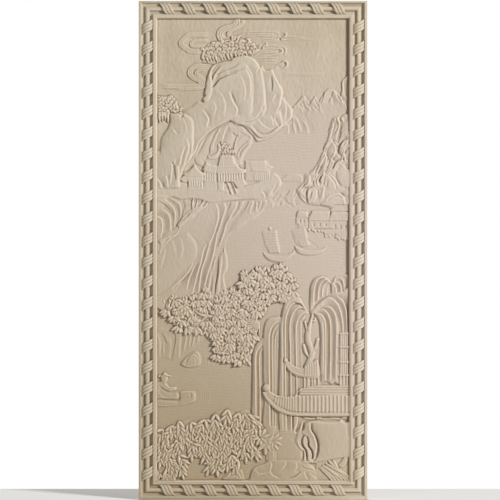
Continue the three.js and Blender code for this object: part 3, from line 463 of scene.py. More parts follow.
def draw_cliff(relief):
    """The overhanging cliff at the upper middle, slab behind slab."""
    creases(relief, [
        ([(196, 650), (212, 634), (224, 606), (234, 572)], 7, 12),
        ([(232, 628), (250, 618), (262, 596), (270, 560)], 7, 12),
        ([(166, 612), (172, 592), (172, 560)], 6, 9), ([(192, 618), (200, 596), (208, 560)], 6, 9),
        ([(182, 648), (192, 620), (190, 596)], -4, 8),
        ([(214, 655), (222, 636), (236, 610)], -4, 8)])
    shape(relief, [(120, 760), (146, 740), (158, 722), (171, 706), (189, 683), (192, 655),
                   (186, 632),
                   (172, 618), (156, 600), (143, 592), (110, 600), (110, 700)], 8, edge=7, dome=2,
          dome_width=14, lean=(1.5, 0), folds=[
        ([(130, 787), (136, 757), (132, 735), (126, 712), (124, 690), (126, 662), (132, 628)],
         4, 20),
        ([(150, 722), (160, 690), (158, 650), (148, 620)], 3, 12)])
    shape(relief, [(36, 886), (60, 868), (92, 874), (108, 846), (124, 813), (140, 787), (147, 757),
                   (142, 735), (136, 712), (134, 690), (136, 662), (142, 628), (144, 596),
                   (127, 574),
                   (94, 550), (70, 534), (46, 527), (18, 523), (2, 545), (-15, 562), (-30, 580),
                   (-46, 596), (-65, 603), (-88, 600), (-96, 628), (-60, 660), (0, 760)], 10,
          edge=7, dome=2, dome_width=14, lean=(3.0, 0), cut=1.6, folds=[
        ([(24, 884), (36, 860), (41, 827), (47, 787), (51, 747), (53, 707), (54, 679), (41, 652)],
         3.6, 26),
        ([(92, 872), (100, 850), (114, 822), (124, 806), (130, 780)], 4, 12),
        ([(146, 745), (138, 716), (126, 688), (113, 664)], 6, 13),
        ([(112, 756), (104, 735), (92, 716)], 2.5, 10), ([(90, 840), (96, 800), (92, 762)], -3, 12),
        ([(102, 640), (112, 612), (128, 590)], 3, 10),
        ([(84, 650), (96, 624), (100, 600)], 2.5, 10),
        ([(138, 606), (112, 588), (84, 566), (50, 556), (26, 562), (8, 580), (-8, 602)], -5, 9),
        ([(130, 590), (100, 566), (64, 546), (34, 542), (10, 560), (-6, 578), (-30, 598)], -4, 8),
        ([(20, 640), (40, 612), (70, 590), (100, 588)], 2, 12),
    ])
    shape(relief, [(-245, 728), (-234, 745), (-236, 760), (-230, 790), (-227, 815), (-220, 842),
                   (-210, 872), (-195, 892), (-170, 902), (-60, 940), (-14, 934), (14, 917),
                   (34, 885), (46, 860), (51, 827), (57, 787), (61, 747), (63, 707), (65, 679),
                   (51, 650), (30, 630), (0, 604), (-14, 597), (-50, 600), (-110, 622),
                   (-220, 690)], 12, edge=7, dome=3, dome_width=16, lean=(1.5, 0), cut=1.9, folds=[
        ([(-38, 888), (-24, 864), (-12, 844), (-7, 807), (-6, 767), (-8, 731), (-11, 699),
          (-9, 675), (-20, 655)],
         3, 26),
        ([(32, 882), (22, 868), (14, 850)], 2, 8),
        ([(56, 700), (44, 690), (40, 672)], 3, 8),
        ([(36, 664), (18, 640), (-10, 624), (-50, 618)], 3, 10),
    ])
    shape(relief, [(-262, 722), (-250, 716), (-218, 726), (-200, 790), (-205, 850), (-190, 893),
                   (-150, 905), (-60, 910), (-28, 892), (-14, 868), (-2, 846), (3, 807), (4, 767),
                   (2, 731), (-1, 699), (1, 675), (-10, 651), (-26, 641), (-58, 642), (-76, 646),
                   (-94, 632), (-128, 612), (-175, 588), (-208, 566), (-226, 546), (-240, 516),
                   (-256, 486), (-274, 452), (-300, 418), (-335, 372), (-345, 460), (-345, 560),
                   (-336, 668), (-300, 692)], 12, edge=8, dome=3.5, dome_width=20, lean=(3, 1),
                   climb=110, cut=1.2,
          folds=[
        ([(-40, 872), (-22, 852), (-12, 822), (-8, 780), (-14, 740)], 4, 10),
        ([(-78, 849), (-112, 842), (-142, 830), (-164, 818), (-180, 796), (-198, 780), (-218, 762),
          (-238, 738), (-248, 724)], -8, 12),
        ([(-62, 896), (-100, 874), (-140, 860), (-180, 836)], -5, 9),
        ([(-36, 868), (-80, 858), (-120, 846)], -4, 8),
        ([(-155, 886), (-184, 852), (-202, 810), (-210, 776)], -6, 9),
        ([(-175, 896), (-200, 862), (-214, 820)], 4, 8),
        ([(-150, 876), (-172, 848), (-192, 802)], 4, 8),
        ([(-190, 845), (-196, 802), (-194, 780)], -5, 7),
        ([(-114, 764), (-100, 728), (-92, 708), (-80, 692), (-74, 674), (-80, 652), (-86, 634)],
         6, 13),
        ([(-100, 756), (-82, 716)], -3, 8),
        ([(-60, 842), (-44, 810), (-36, 770), (-40, 720)], 2, 14),
        ([(-244, 678), (-228, 658), (-216, 640), (-214, 622), (-224, 596)], 6, 12),
        ([(-165, 770), (-140, 730), (-132, 690), (-142, 650)], 1.8, 18),
        ([(-196, 720), (-178, 690), (-186, 655), (-196, 620)], 1.8, 16),
        ([(-96, 640), (-128, 622), (-170, 598), (-206, 572), (-236, 546), (-262, 514), (-276, 478),
          (-296, 446), (-330, 400)], 7, 11),
        ([(-300, 560), (-285, 520), (-300, 480)], 2, 14),
        ([(-330, 640), (-310, 600), (-306, 560)], -2, 16),
    ])


def draw_hollow(relief):
    """Rocks and a small bush in the hollow under the cliff."""
    shape(relief, [(-96, 626), (-88, 602), (-66, 604), (-46, 597), (-28, 580), (-12, 562), (2, 544),
                   (-8, 508), (-22, 486), (-40, 458), (-54, 428), (-62, 405), (-240, 400),
                   (-285, 440), (-262, 470), (-244, 505), (-226, 540), (-200, 568), (-150, 596)],
          4.5, edge=8, folds=[
        ([(-158, 594), (-186, 552), (-200, 520), (-206, 495), (-208, 470), (-222, 446),
          (-226, 430)],
         -6, 9),
        ([(-184, 580), (-196, 548), (-212, 500)], 4, 9),
        ([(-150, 596), (-170, 560), (-188, 512), (-192, 478)], 3, 8),
        ([(-122, 594), (-134, 570), (-142, 546), (-150, 520)], 6, 9),
        ([(-96, 570), (-84, 556), (-70, 554)], -6, 6), ([(-72, 560), (-84, 530), (-92, 505),
                                                        (-92, 480), (-84, 458), (-72, 436)], -8, 7),
        ([(-24, 522), (-46, 506), (-64, 486), (-76, 462), (-68, 444)], -5, 7),
        ([(-20, 506), (-42, 490), (-58, 468), (-62, 444)], -5, 7),
        ([(-16, 492), (-34, 468), (-46, 440), (-56, 412)], 7, 10),
        ([(-40, 548), (-60, 540), (-74, 520)], -3, 8),
        ([(-10, 540), (-30, 556), (-60, 570)], -3, 8),
        ([(-54, 590), (-40, 580), (-44, 566)], 4, 8),
        ([(-218, 470), (-206, 446), (-196, 436)], 4, 8),
        ([(-240, 440), (-222, 420), (-190, 415)], -4, 8)])
    shape(relief, [(-218, 440), (-200, 436), (-184, 438), (-170, 448), (-162, 466), (-154, 484),
                   (-156, 506), (-166, 518), (-172, 505), (-172, 482), (-184, 466), (-202, 458),
                   (-216, 452)], 8, edge=6, dome=2, dome_width=8, gap=2.5)
    crown(relief, [(-160, 520), (-142, 516), (-128, 520), (-116, 508), (-106, 490), (-98, 470),
                   (-104, 454), (-128, 452), (-152, 458), (-146, 484)], 11, 13, 8)


def draw_left_boulder(relief):
    """The tall boulder at the left edge and the creased bank below it."""
    shape(relief, [(-480, 480), (-455, 482), (-446, 536), (-430, 566), (-412, 592), (-402, 625),
                   (-402, 658), (-370, 664), (-343, 663), (-318, 654), (-296, 639), (-286, 620),
                   (-283, 586), (-284, 540), (-287, 500), (-291, 460), (-305, 425), (-330, 395),
                   (-348, 340), (-358, 292), (-480, 284)], 14, edge=9, dome=4, dome_width=20,
          lean=(2, 1), climb=70, folds=[
        ([(-304, 510), (-312, 480), (-322, 440), (-334, 400)], 6, 12),
        ([(-326, 498), (-338, 470), (-348, 430), (-356, 395)], 6, 12),
        ([(-318, 540), (-308, 500), (-310, 460)], 4, 12),
        ([(-394, 424), (-386, 400), (-392, 360), (-398, 312)], 6, 11),
        ([(-418, 360), (-410, 330), (-408, 298)], 6, 10),
        ([(-366, 410), (-356, 378), (-362, 330)], 6, 10),
        ([(-396, 428), (-380, 414), (-374, 380), (-370, 338)], -5, 9),
        ([(-460, 345), (-444, 320), (-440, 290)], 6, 11), ([(-430, 330), (-424, 300)], -4, 8),
        ([(-372, 440), (-378, 415), (-388, 400)], 4, 9),
        ([(-370, 646), (-350, 644), (-330, 646)], -2.5, 7),
        ([(-398, 640), (-410, 600), (-432, 566), (-450, 520)], -5, 10),
        ([(-388, 588), (-376, 572), (-366, 556)], 3, 14),
        ([(-340, 640), (-322, 600), (-316, 560)], 2, 16),
        ([(-440, 500), (-448, 460)], -3, 9),
    ])


def crown(relief, outline, rise, spacing, seed):
    """A lumpy, deeply drilled crown of bent fingers."""
    shape(relief, outline, rise * 0.35, edge=6, basin=0.5)
    mark_drilled_shade(relief, outline, 3.5)
    rng = np.random.default_rng(seed)
    for x, z in scatter(outline, spacing, rng, 0.35):
        angle = math.radians(rng.uniform(0, 180))
        curl(relief, x, z - spacing * 0.3, angle, spacing * rng.uniform(0.7, 1.3), spacing * 0.42,
             rise * rng.uniform(0.3, 0.5), rise * 0.34, rng.uniform(-2.2, 2.2))


def draw_crowns(relief):
    """The trees on the cliff top and at the left edge, with finger-like stems below."""
    stems = [(-246, 908), (-241, 945), (-235, 965), (-220, 988), (-190, 990), (-60, 1000),
             (12, 982), (20, 965), (-5, 946), (-40, 940), (-90, 934), (-105, 910), (-150, 904),
             (-190, 896), (-232, 903)]
    shape(relief, stems, 4, edge=5, basin=0.5)
    mark_drilled_shade(relief, stems)
    rng = np.random.default_rng(17)
    for k in range(12):
        x = -228 + k * 17 + rng.uniform(-4, 4)
        foot = 908 + max(0, k - 3) * 3.8 + rng.uniform(-3, 5)
        tilt = -16 + k * 1.7 + rng.uniform(-5, 5)
        strand(relief, [(x + tilt * 0.7, foot + 54), (x + 2 + tilt * 0.2, foot + 26),
                        (x + 10, foot)],
               rng.uniform(4, 6), rng.uniform(4.5, 6.5), rng.uniform(6, 9), ring=2.4)
    crown(relief, [(-246, 918), (-241, 947), (-235, 967), (-220, 991), (-200, 1001), (-170, 1011),
                   (-140, 1013), (-110, 1019), (-80, 1026), (-50, 1021), (-25, 1011), (-8, 1000),
                   (12, 985), (22, 966), (5, 952), (-30, 950), (-90, 950), (-140, 948),
                   (-190, 940), (-225, 928)], 9, 17, 11)
    for k, x in enumerate((-448, -434, -421, -408)):
        strand(relief, [(x, 690), (x - 3, 650), (x - 1, 616 + 6 * (k % 3))], 5, 5, 7, ring=2)
    crown(relief, [(-480, 737), (-430, 744), (-400, 744), (-380, 736), (-368, 715), (-358, 695),
                   (-350, 682), (-343, 667), (-378, 660), (-400, 672), (-480, 665)], 9, 17, 12)


def draw_plateau(relief):
    """The plateau, its pavilions and hall, and the arched bridge."""
    shape(relief, [(-480, 300), (-360, 305), (-240, 300), (-100, 300), (20, 330), (85, 372),
                   (108, 372), (125, 357), (135, 344), (140, 324), (135, 306), (122, 296),
                   (112, 284), (96, 262), (60, 246), (20, 240), (-20, 244), (-60, 242),
                   (-100, 236), (-142, 232), (-180, 226), (-215, 226), (-250, 240), (-300, 246),
                   (-345, 241), (-370, 249), (-400, 256), (-430, 250), (-480, 260)], 6.5, edge=9,
          basin=1, gap=0.5, folds=[
        ([(104, 372), (122, 358), (133, 342), (136, 324), (126, 302)], 4, 10),
        ([(40, 282), (54, 272), (58, 256), (56, 240)], 6, 9), ([(-480, 268), (-400, 262)], 1.5, 12),
        ([(110, 320), (102, 300), (92, 284), (80, 264)], 4, 8),
        ([(118, 300), (104, 284), (98, 262)], -4, 7),
        ([(-120, 262), (-60, 250), (0, 252)], 1.5, 14)])
    low = dict(hard=True, edge=4, gap=0.3, basin=0)
    shape(relief, [(-240, 392), (-176, 378), (-168, 280), (-240, 290)], 7, **low)
    straight(relief, (-238, 384), (-180, 372), (-238, 336), (-180, 330), 5, 3.5, 5)
    shape(relief, [(-178, 378), (-44, 378), (-44, 330), (-138, 328), (-138, 284), (-170, 284)], 9,
          **low)
    straight(relief, (-172, 368), (-46, 368), (-172, 333), (-46, 333), 10, 5.5, 5.5)
    shape(relief, [(-228, 426), (-214, 417), (-166, 406), (-176, 369), (-208, 374), (-246, 387)],
          10.5, **low)
    straight(relief, (-222, 420), (-172, 404), (-238, 386), (-180, 374), 7, 3.2, 4)
    shape(relief, [(-160, 458), (-94, 458), (-86, 424), (-62, 396), (-26, 388), (-28, 378),
                   (-46, 369), (-178, 369), (-172, 400)], 12.5, lean=(1.5, 0), **low)
    straight(relief, (-156, 454), (-98, 454), (-168, 406), (-76, 406), 10, 2.6, 4)
    straight(relief, (-170, 400), (-66, 400), (-176, 374), (-46, 374), 13, 2.6, 4)
    ridges(relief, [([(-172, 403), (-70, 403)], 3.5, 3.5, 3.5, 1.0, 0),
                    ([(-178, 371), (-48, 371), (-26, 386)], 3.5, 4, 4),
                    ([(-246, 386), (-208, 374), (-178, 370)], 3.5, 4, 4)])
    shape(relief, [(-104, 336), (-45, 348), (-28, 316), (-60, 300), (-76, 298)], 9, **low)
    ridges(relief, [
        ([(-134, 328), (-112, 272)], -5, 4, 4, 1.0, 0),
        ([(-124, 328), (-102, 272)], 6, 5, 5, 1.0, 0),
        ([(-110, 326), (-91, 274)], -5, 4, 4, 1.0, 0),
        ([(-100, 326), (-78, 276)], 6, 5, 5, 1.0, 0)])
    shape(relief, [(-354, 332), (-316, 322), (-314, 282), (-340, 286), (-354, 294)], 6, **low)
    shape(relief, [(-316, 336), (-240, 336), (-238, 290), (-316, 288)], 8, **low)
    straight(relief, (-312, 331), (-242, 331), (-312, 310), (-242, 310), 6, 5, 5)
    shape(relief, [(-354, 343), (-330, 364), (-240, 362), (-234, 338), (-238, 332), (-315, 332),
                   (-322, 323), (-342, 328)], 9, **low)
    straight(relief, (-314, 348), (-242, 348), (-316, 335), (-240, 335), 8, 2, 4)
    shape(relief, [(-347, 367), (-320, 376), (-296, 398), (-285, 414), (-276, 412), (-262, 388),
                   (-232, 370), (-238, 357), (-318, 358)], 10.5, lean=(1, 0), **low)
    straight(relief, (-290, 404), (-276, 404), (-314, 364), (-242, 362), 7, 2.4, 4)
    ridges(relief, [([(-347, 366), (-318, 359), (-238, 358)], 3, 4, 4),
                    ([(-283, 412), (-300, 385), (-322, 366)], -3, 4, 4)])
    shape(relief, [(-40, 388), (84, 388), (90, 334), (-40, 330)],
          4.5, hard=True, edge=8, gap=0, basin=0)
    straight(relief, (2, 372), (80, 372), (6, 338), (82, 340), 8, 3.5, 4.5)
    shape(relief, [(-40, 434), (60, 434), (72, 416), (98, 398), (92, 392), (76, 378), (-40, 380)],
          6, hard=True, edge=6, gap=0.3, basin=0)
    straight(relief, (-20, 430), (58, 430), (-6, 384), (70, 382), 13, 2.6, 3.6)
    ridges(relief, [([(62, 434), (74, 412), (98, 396)], 3, 4, 4), ([(-10, 381), (76, 379)],
                                                                   2.5, 4, 4)])
    shape(relief, [(134, 340), (150, 354), (170, 365), (200, 367), (238, 358), (240, 322),
                   (212, 328), (184, 331), (152, 330)], 3.2, edge=6, basin=0.5, folds=[
        ([(240, 322), (212, 328), (184, 332), (150, 332)], 3, 5)])
    ridges(relief, [([(136, 342), (170, 364), (200, 367), (238, 358)], 2, 4, 4),
                    ([(150, 334), (185, 333), (212, 329), (240, 320)], 2.5, 4, 4)])
    shape(relief, [(54, 202), (59, 222), (68, 236), (80, 244), (95, 240), (104, 228), (100, 206)],
          3.2, edge=9, basin=0, gap=0.6, folds=[([(92, 238), (98, 222), (94, 206)], 3, 7)])
    creases(relief, [([(118, 272), (104, 254), (94, 240)], -4, 8),
                     ([(140, 262), (124, 248), (112, 236)], -4, 8),
                     ([(132, 250), (144, 240), (150, 224)], 4, 8),
                     ([(178, 288), (168, 270), (152, 256)], -5, 9),
                     ([(154, 252), (162, 238), (178, 222)], -5, 8),
                     ([(146, 236), (136, 228), (132, 214)], -4, 7),
                     ([(166, 226), (176, 216), (184, 204)], 4, 7),
                     ([(206, 296), (198, 276), (188, 256)], 5, 9),
                     ([(216, 280), (206, 262), (196, 240), (206, 214)], 5, 9)])


def draw_right_mountains(relief):
    """The mountains down the right edge, with rounded boulders at their foot."""
    shape(relief, [(418, 600), (422, 640), (436, 654), (455, 660), (480, 655), (480, 540)], 7,
          edge=6, dome=2, folds=[([(430, 645), (440, 600), (436, 560)], 4, 10)])
    shape(relief, [(408, 645), (386, 638), (374, 622), (369, 598), (364, 575), (361, 550),
                   (356, 535), (346, 516), (338, 490), (336, 478), (326, 458), (312, 430),
                   (300, 405), (288, 388), (274, 378), (254, 374), (246, 360), (242, 340),
                   (236, 322), (220, 306), (203, 290), (218, 262), (254, 224), (330, 212),
                   (480, 214), (480, 600), (440, 620), (424, 640)], 9, climb=70, edge=8, dome=3,
          dome_width=18, lean=(1, 0), cut=1.4, folds=[
        ([(410, 642), (419, 612), (417, 588), (412, 566), (404, 538), (394, 520)], 8, 14),
        ([(392, 620), (386, 590), (378, 560), (366, 530)], 3, 14),
        ([(430, 600), (424, 575), (412, 550)], -5, 9),
        ([(428, 566), (418, 540), (408, 515)], -6, 9),
        ([(386, 536), (376, 516), (364, 502), (348, 488), (340, 474)], 6, 9),
        ([(376, 534), (390, 512), (400, 496), (406, 470), (420, 446)], 6, 12),
        ([(388, 520), (372, 500), (354, 470), (336, 440)], -5, 9),
        ([(400, 500), (396, 470), (382, 440), (370, 410)], 4, 12),
        ([(360, 500), (350, 460), (330, 420)], 4, 10),
        ([(456, 536), (434, 522), (422, 506), (416, 480), (412, 462)], -8, 11),
        ([(450, 500), (440, 470), (446, 430)], 5, 12),
        ([(436, 450), (428, 430), (424, 410)], 4, 10),
        ([(346, 466), (356, 446), (352, 420), (338, 390)], 6, 9),
        ([(366, 436), (360, 415), (348, 388), (340, 368)], 7, 9),
        ([(332, 424), (322, 400), (312, 376), (306, 350)], 7, 9),
        ([(380, 446), (388, 420), (380, 392)], 6, 9), ([(312, 410), (300, 388), (292, 366)], 6, 9),
        ([(440, 436), (424, 434), (402, 424), (392, 405), (384, 386)], -7, 10),
        ([(300, 360), (290, 336), (270, 318), (246, 300), (232, 276)], 7, 9),
        ([(282, 370), (274, 345), (254, 328), (238, 310), (222, 290)], 6, 8),
        ([(324, 360), (312, 330), (318, 310)], 5, 8), ([(338, 366), (326, 340), (330, 322)], -6, 8),
        ([(270, 312), (262, 290), (262, 256), (268, 232)], -6, 8),
        ([(286, 300), (268, 292), (262, 270)], -5, 8), ([(230, 262), (246, 244), (262, 226)], 4, 8),
    ])
    crags(relief, [(400, 640), (369, 598), (350, 520), (330, 460), (290, 390), (256, 370),
                   (240, 320), (480, 320), (480, 600)], math.radians(62), 17, 4.4, 5)
    stone = dict(edge=7, dome=4, dome_width=12, gap=2.5)
    shape(relief, [(388, 372), (398, 385), (402, 400), (420, 428), (440, 434), (480, 420),
                   (480, 330), (410, 330)], 9, folds=[
        ([(404, 392), (414, 380), (420, 362)], 5, 7),
        ([(420, 420), (440, 404), (450, 384), (456, 350)], 5, 9),
        ([(406, 404), (424, 416), (446, 418), (468, 404)], -4, 7),
        ([(470, 432), (450, 424), (436, 400), (420, 384)], 3, 10),
        ([(412, 410), (430, 424), (452, 410)], 3, 8)], **stone)
    shape(relief, [(398, 320), (400, 362), (406, 384), (424, 394), (450, 392), (480, 380),
                   (480, 300)], 12, folds=[([(412, 372), (428, 380), (450, 374)], -2, 8)], **stone)
    shape(relief, [(330, 290), (333, 330), (338, 352), (352, 368), (376, 372), (398, 362),
                   (412, 340), (424, 318), (436, 290)], 10, folds=[
        ([(372, 366), (392, 350), (404, 330), (416, 300)], 5, 8),
        ([(350, 362), (346, 334), (340, 296)], -4, 8),
        ([(360, 362), (378, 340), (392, 318), (398, 292)], 4, 8),
        ([(362, 340), (360, 316), (352, 296)], -4, 7)],
          **stone)
    shape(relief, [(246, 300), (248, 322), (252, 344), (262, 360), (278, 376), (292, 378),
                   (300, 366), (290, 340), (284, 310)], 7, folds=[
        ([(270, 366), (276, 340), (270, 316)], 4, 8),
        ([(260, 350), (262, 330), (256, 312)], -3, 6)], **stone)
    shape(relief, [(262, 228), (266, 256), (272, 276), (290, 292), (318, 300), (320, 280),
                   (318, 240)], 7, folds=[
        ([(288, 290), (282, 266), (274, 246)], -5, 8),
        ([(304, 296), (308, 270), (300, 244)], 5, 8)], **stone)
    shape(relief, [(318, 226), (322, 262), (326, 298), (346, 318), (364, 300), (356, 270),
                   (344, 240)], 9, folds=[
        ([(344, 312), (342, 280), (334, 250)], 5, 8),
        ([(334, 300), (330, 276), (326, 250)], -3, 6)], **stone)
    shape(relief, [(332, 216), (336, 236), (346, 256), (356, 272), (376, 284), (400, 287),
                   (428, 282), (448, 264), (480, 246), (480, 204)], 10, folds=[
        ([(346, 240), (360, 262), (388, 274), (424, 268), (452, 250)], -5, 8),
        ([(366, 236), (380, 252), (404, 256), (430, 248)], -4, 8),
        ([(404, 284), (428, 266), (440, 246), (446, 216)], 5, 9)], **stone)


def draw_strata(relief):
    """The bank that sweeps down from the plateau, the fanned rocks, and the bent tree."""
    shape(relief, [(-480, 256), (-420, 250), (-345, 242), (-215, 232), (-60, 238), (60, 246),
                   (58, 200), (9, 152), (-19, 138), (-39, 123), (-67, 103), (-98, 87), (-117, 66),
                   (-129, 41), (-133, 9), (-125, -23), (-121, -55), (-123, -95), (-138, -125),
                   (-150, -262), (-480, -268)], 6.5, edge=7, dome=1.5, lean=(-0.5, -2.5), cut=1.2,
                   folds=[
        ([(-223, 30), (-235, 5), (-241, -23), (-248, -58), (-260, -95), (-274, -150), (-290, -214)],
         7, 13),
        ([(-178, 226), (-167, 196), (-165, 162), (-169, 134), (-179, 101), (-191, 65), (-203, 37),
          (-214, 0), (-223, -31), (-234, -63), (-246, -97), (-254, -160), (-262, -226)], 8, 14),
        ([(-141, 232), (-131, 212), (-131, 190), (-141, 162), (-151, 134), (-159, 106), (-171, 73),
          (-177, 41), (-183, 1), (-191, -35), (-200, -68), (-214, -110), (-228, -160),
          (-240, -220)], 8, 13),
        ([(-75, 240), (-79, 210), (-95, 178), (-111, 150), (-127, 122), (-133, 98), (-140, 73),
          (-151, 41), (-163, 13), (-170, -20), (-186, -70), (-202, -130), (-208, -170),
          (-216, -220)], 8, 12),
        ([(-41, 248), (-47, 222), (-67, 190), (-91, 162), (-111, 138), (-123, 106), (-133, 80)],
         8, 11),
        ([(-60, 196), (-84, 176), (-100, 152)], -5, 7), ([(-136, 60), (-146, 30), (-152, 0)], 6, 8),
        ([(-134, 42), (-140, 10), (-142, -12)], -7, 8), ([(-158, 20), (-168, -8), (-166, -50),
                                                        (-166, -110), (-176, -170), (-182, -220)],
                                                        -8, 10),
        ([(-150, -20), (-150, -60), (-156, -110), (-160, -160), (-164, -220)], 4, 9),
        ([(-178, -20), (-190, -60), (-194, -110), (-196, -160), (-200, -216)], -4, 8),
        ([(-104, 238), (-110, 214), (-124, 190)], -3, 8),
        ([(5, 240), (-3, 212), (-15, 182)], 7, 11),
        ([(18, 236), (20, 214), (16, 190)], 6, 8), ([(44, 240), (34, 212), (20, 184)], 5, 9),
        ([(-18, 242), (-28, 216), (-44, 190)], -4, 8),
        ([(-62, 244), (-64, 226), (-72, 214)], -4, 7),
        ([(-286, -62), (-300, -90), (-320, -120), (-350, -150), (-390, -185)], 6, 12),
        ([(-272, -60), (-290, -100), (-306, -140), (-318, -190)], 6, 11),
        ([(-310, -110), (-344, -150), (-372, -190)], 3, 10),
    ])
    shape(relief, [(-480, 30), (-440, 20), (-410, 42), (-383, 57), (-351, 73), (-322, 86),
                   (-308, 80), (-294, 65), (-279, 45), (-270, 21), (-268, -7), (-274, -35),
                   (-290, -56), (-310, -76), (-335, -108), (-370, -153), (-402, -190),
                   (-480, -215)], 7, edge=8, dome=3.5, dome_width=24, lean=(2, 1.5), gap=2, folds=[
        ([(-390, 52), (-378, 20), (-376, -10)], 2, 12),
        ([(-350, 60), (-336, 10), (-350, -60)], 1.5, 20),
        ([(-420, 10), (-430, -40), (-445, -90)], 2, 16)])
    shape(relief, [(-480, 262), (-345, 244), (-318, 250), (-318, 224), (-330, 190), (-345, 140),
                   (-375, 100), (-410, 80), (-440, 60), (-480, 45)], 6, edge=8, folds=[
        ([(-399, 256), (-375, 242), (-355, 230), (-347, 210), (-345, 182), (-352, 140)], 9, 17),
        ([(-425, 247), (-399, 226), (-383, 206), (-373, 182), (-373, 154), (-379, 112)], 9, 17),
        ([(-440, 202), (-415, 186), (-401, 166), (-395, 138), (-394, 92)], 9, 17),
        ([(-470, 172), (-452, 162), (-439, 150), (-433, 126), (-435, 90), (-444, 56)], 9, 15),
        ([(-460, 240), (-430, 226), (-408, 206), (-398, 186)], -4, 9),
        ([(-360, 250), (-335, 236), (-326, 210), (-330, 176)], -4, 9)])
    shape(relief, [(-455, 48), (-430, 62), (-411, 73), (-391, 75), (-372, 84), (-357, 105),
                   (-366, 121), (-352, 144), (-331, 170), (-311, 188), (-296, 198), (-298, 226),
                   (-290, 248), (-284, 246), (-284, 206), (-276, 222), (-270, 242), (-264, 240),
                   (-268, 212), (-258, 218), (-240, 240), (-231, 238), (-244, 212), (-238, 212),
                   (-222, 230), (-215, 226), (-230, 204), (-254, 188), (-270, 170), (-290, 150),
                   (-311, 138), (-335, 121), (-350, 106), (-362, 80), (-378, 62), (-396, 50),
                   (-411, 36), (-432, 8), (-447, -20), (-456, -14), (-448, 20)], 9.5, edge=4,
          dome=2, dome_width=8, gap=5, basin=0.5, folds=[
        ([(-250, 190), (-290, 170), (-330, 132), (-352, 112)], 4, 6),
        ([(-290, 186), (-320, 160), (-345, 134)], -4, 6), ([(-262, 190), (-300, 150)], 3, 6),
        ([(-390, 72), (-414, 56), (-440, 46)], 4, 6), ([(-404, 60), (-424, 30), (-444, -4)], -4, 6),
        ([(-306, 176), (-318, 150)], -4, 5), ([(-276, 186), (-284, 168)], 4, 5),
    ])


def boat(relief, sail, battens, hull, deck):
    """A sailing boat: a sail stiffened by battens over a curved hull."""
    shape(relief, sail, 3.5, edge=4, hard=True, gap=1.5, basin=1, lean=(2.5, 0))
    a, b, c, d, count = battens
    straight(relief, a, b, c, d, count, 2.4, 4.6)
    shape(relief, hull, 5.5, edge=7, dome=2, dome_width=8, gap=1.5, basin=1.5)
    ridges(relief, [(np.array(deck) + (0, -2), 2, 4, 4), (np.array(deck) + (0, -10), -2, 4, 4)])


def draw_lake(relief):
    """Two boats on the open water."""
    boat(relief, [(42, 92), (60, 96), (80, 94), (112, 98), (114, 60), (120, 28), (132, -14),
                  (80, -14), (66, 4), (56, 24), (50, 46), (45, 70)],
         ((44, 88), (80, -12), (112, 92), (130, -12), 8),
         [(48, -6), (48, -20), (56, -34), (70, -47), (90, -56), (120, -60), (150, -57), (171, -46),
          (190, -28), (204, -8), (196, 6), (186, -8), (160, -20), (130, -24), (100, -24),
          (72, -18)],
         [(52, -10), (90, -24), (130, -25), (166, -18), (196, 2)])
    shape(relief, [(74, 112), (88, 113), (90, 96), (76, 96)], 5, edge=3, hard=True, basin=0)
    ridges(relief, [([(112, 100), (117, 50), (130, -12)], 3, 4, 4)])
    boat(relief, [(184, 101), (218, 108), (252, 114), (256, 74), (262, 50), (272, 22), (242, 14),
                  (216, 20), (202, 38), (192, 62), (187, 80)],
         ((186, 96), (236, 16), (253, 104), (270, 24), 7),
         [(200, 25), (201, 6), (210, -9), (225, -19), (245, -25), (280, -27), (312, -22),
          (336, -10),
          (352, 7), (358, 27), (346, 14), (330, 8), (300, 4), (270, 2), (240, 8), (214, 20)],
         [(206, 12), (240, 2), (280, -2), (330, 4), (352, 20)])
    ridges(relief, [([(262, 54), (284, 34), (310, 13)], -3.5, 4, 3, 1.0, 0),
                    ([(254, 106), (260, 52), (274, 20)], 3, 4, 4)])


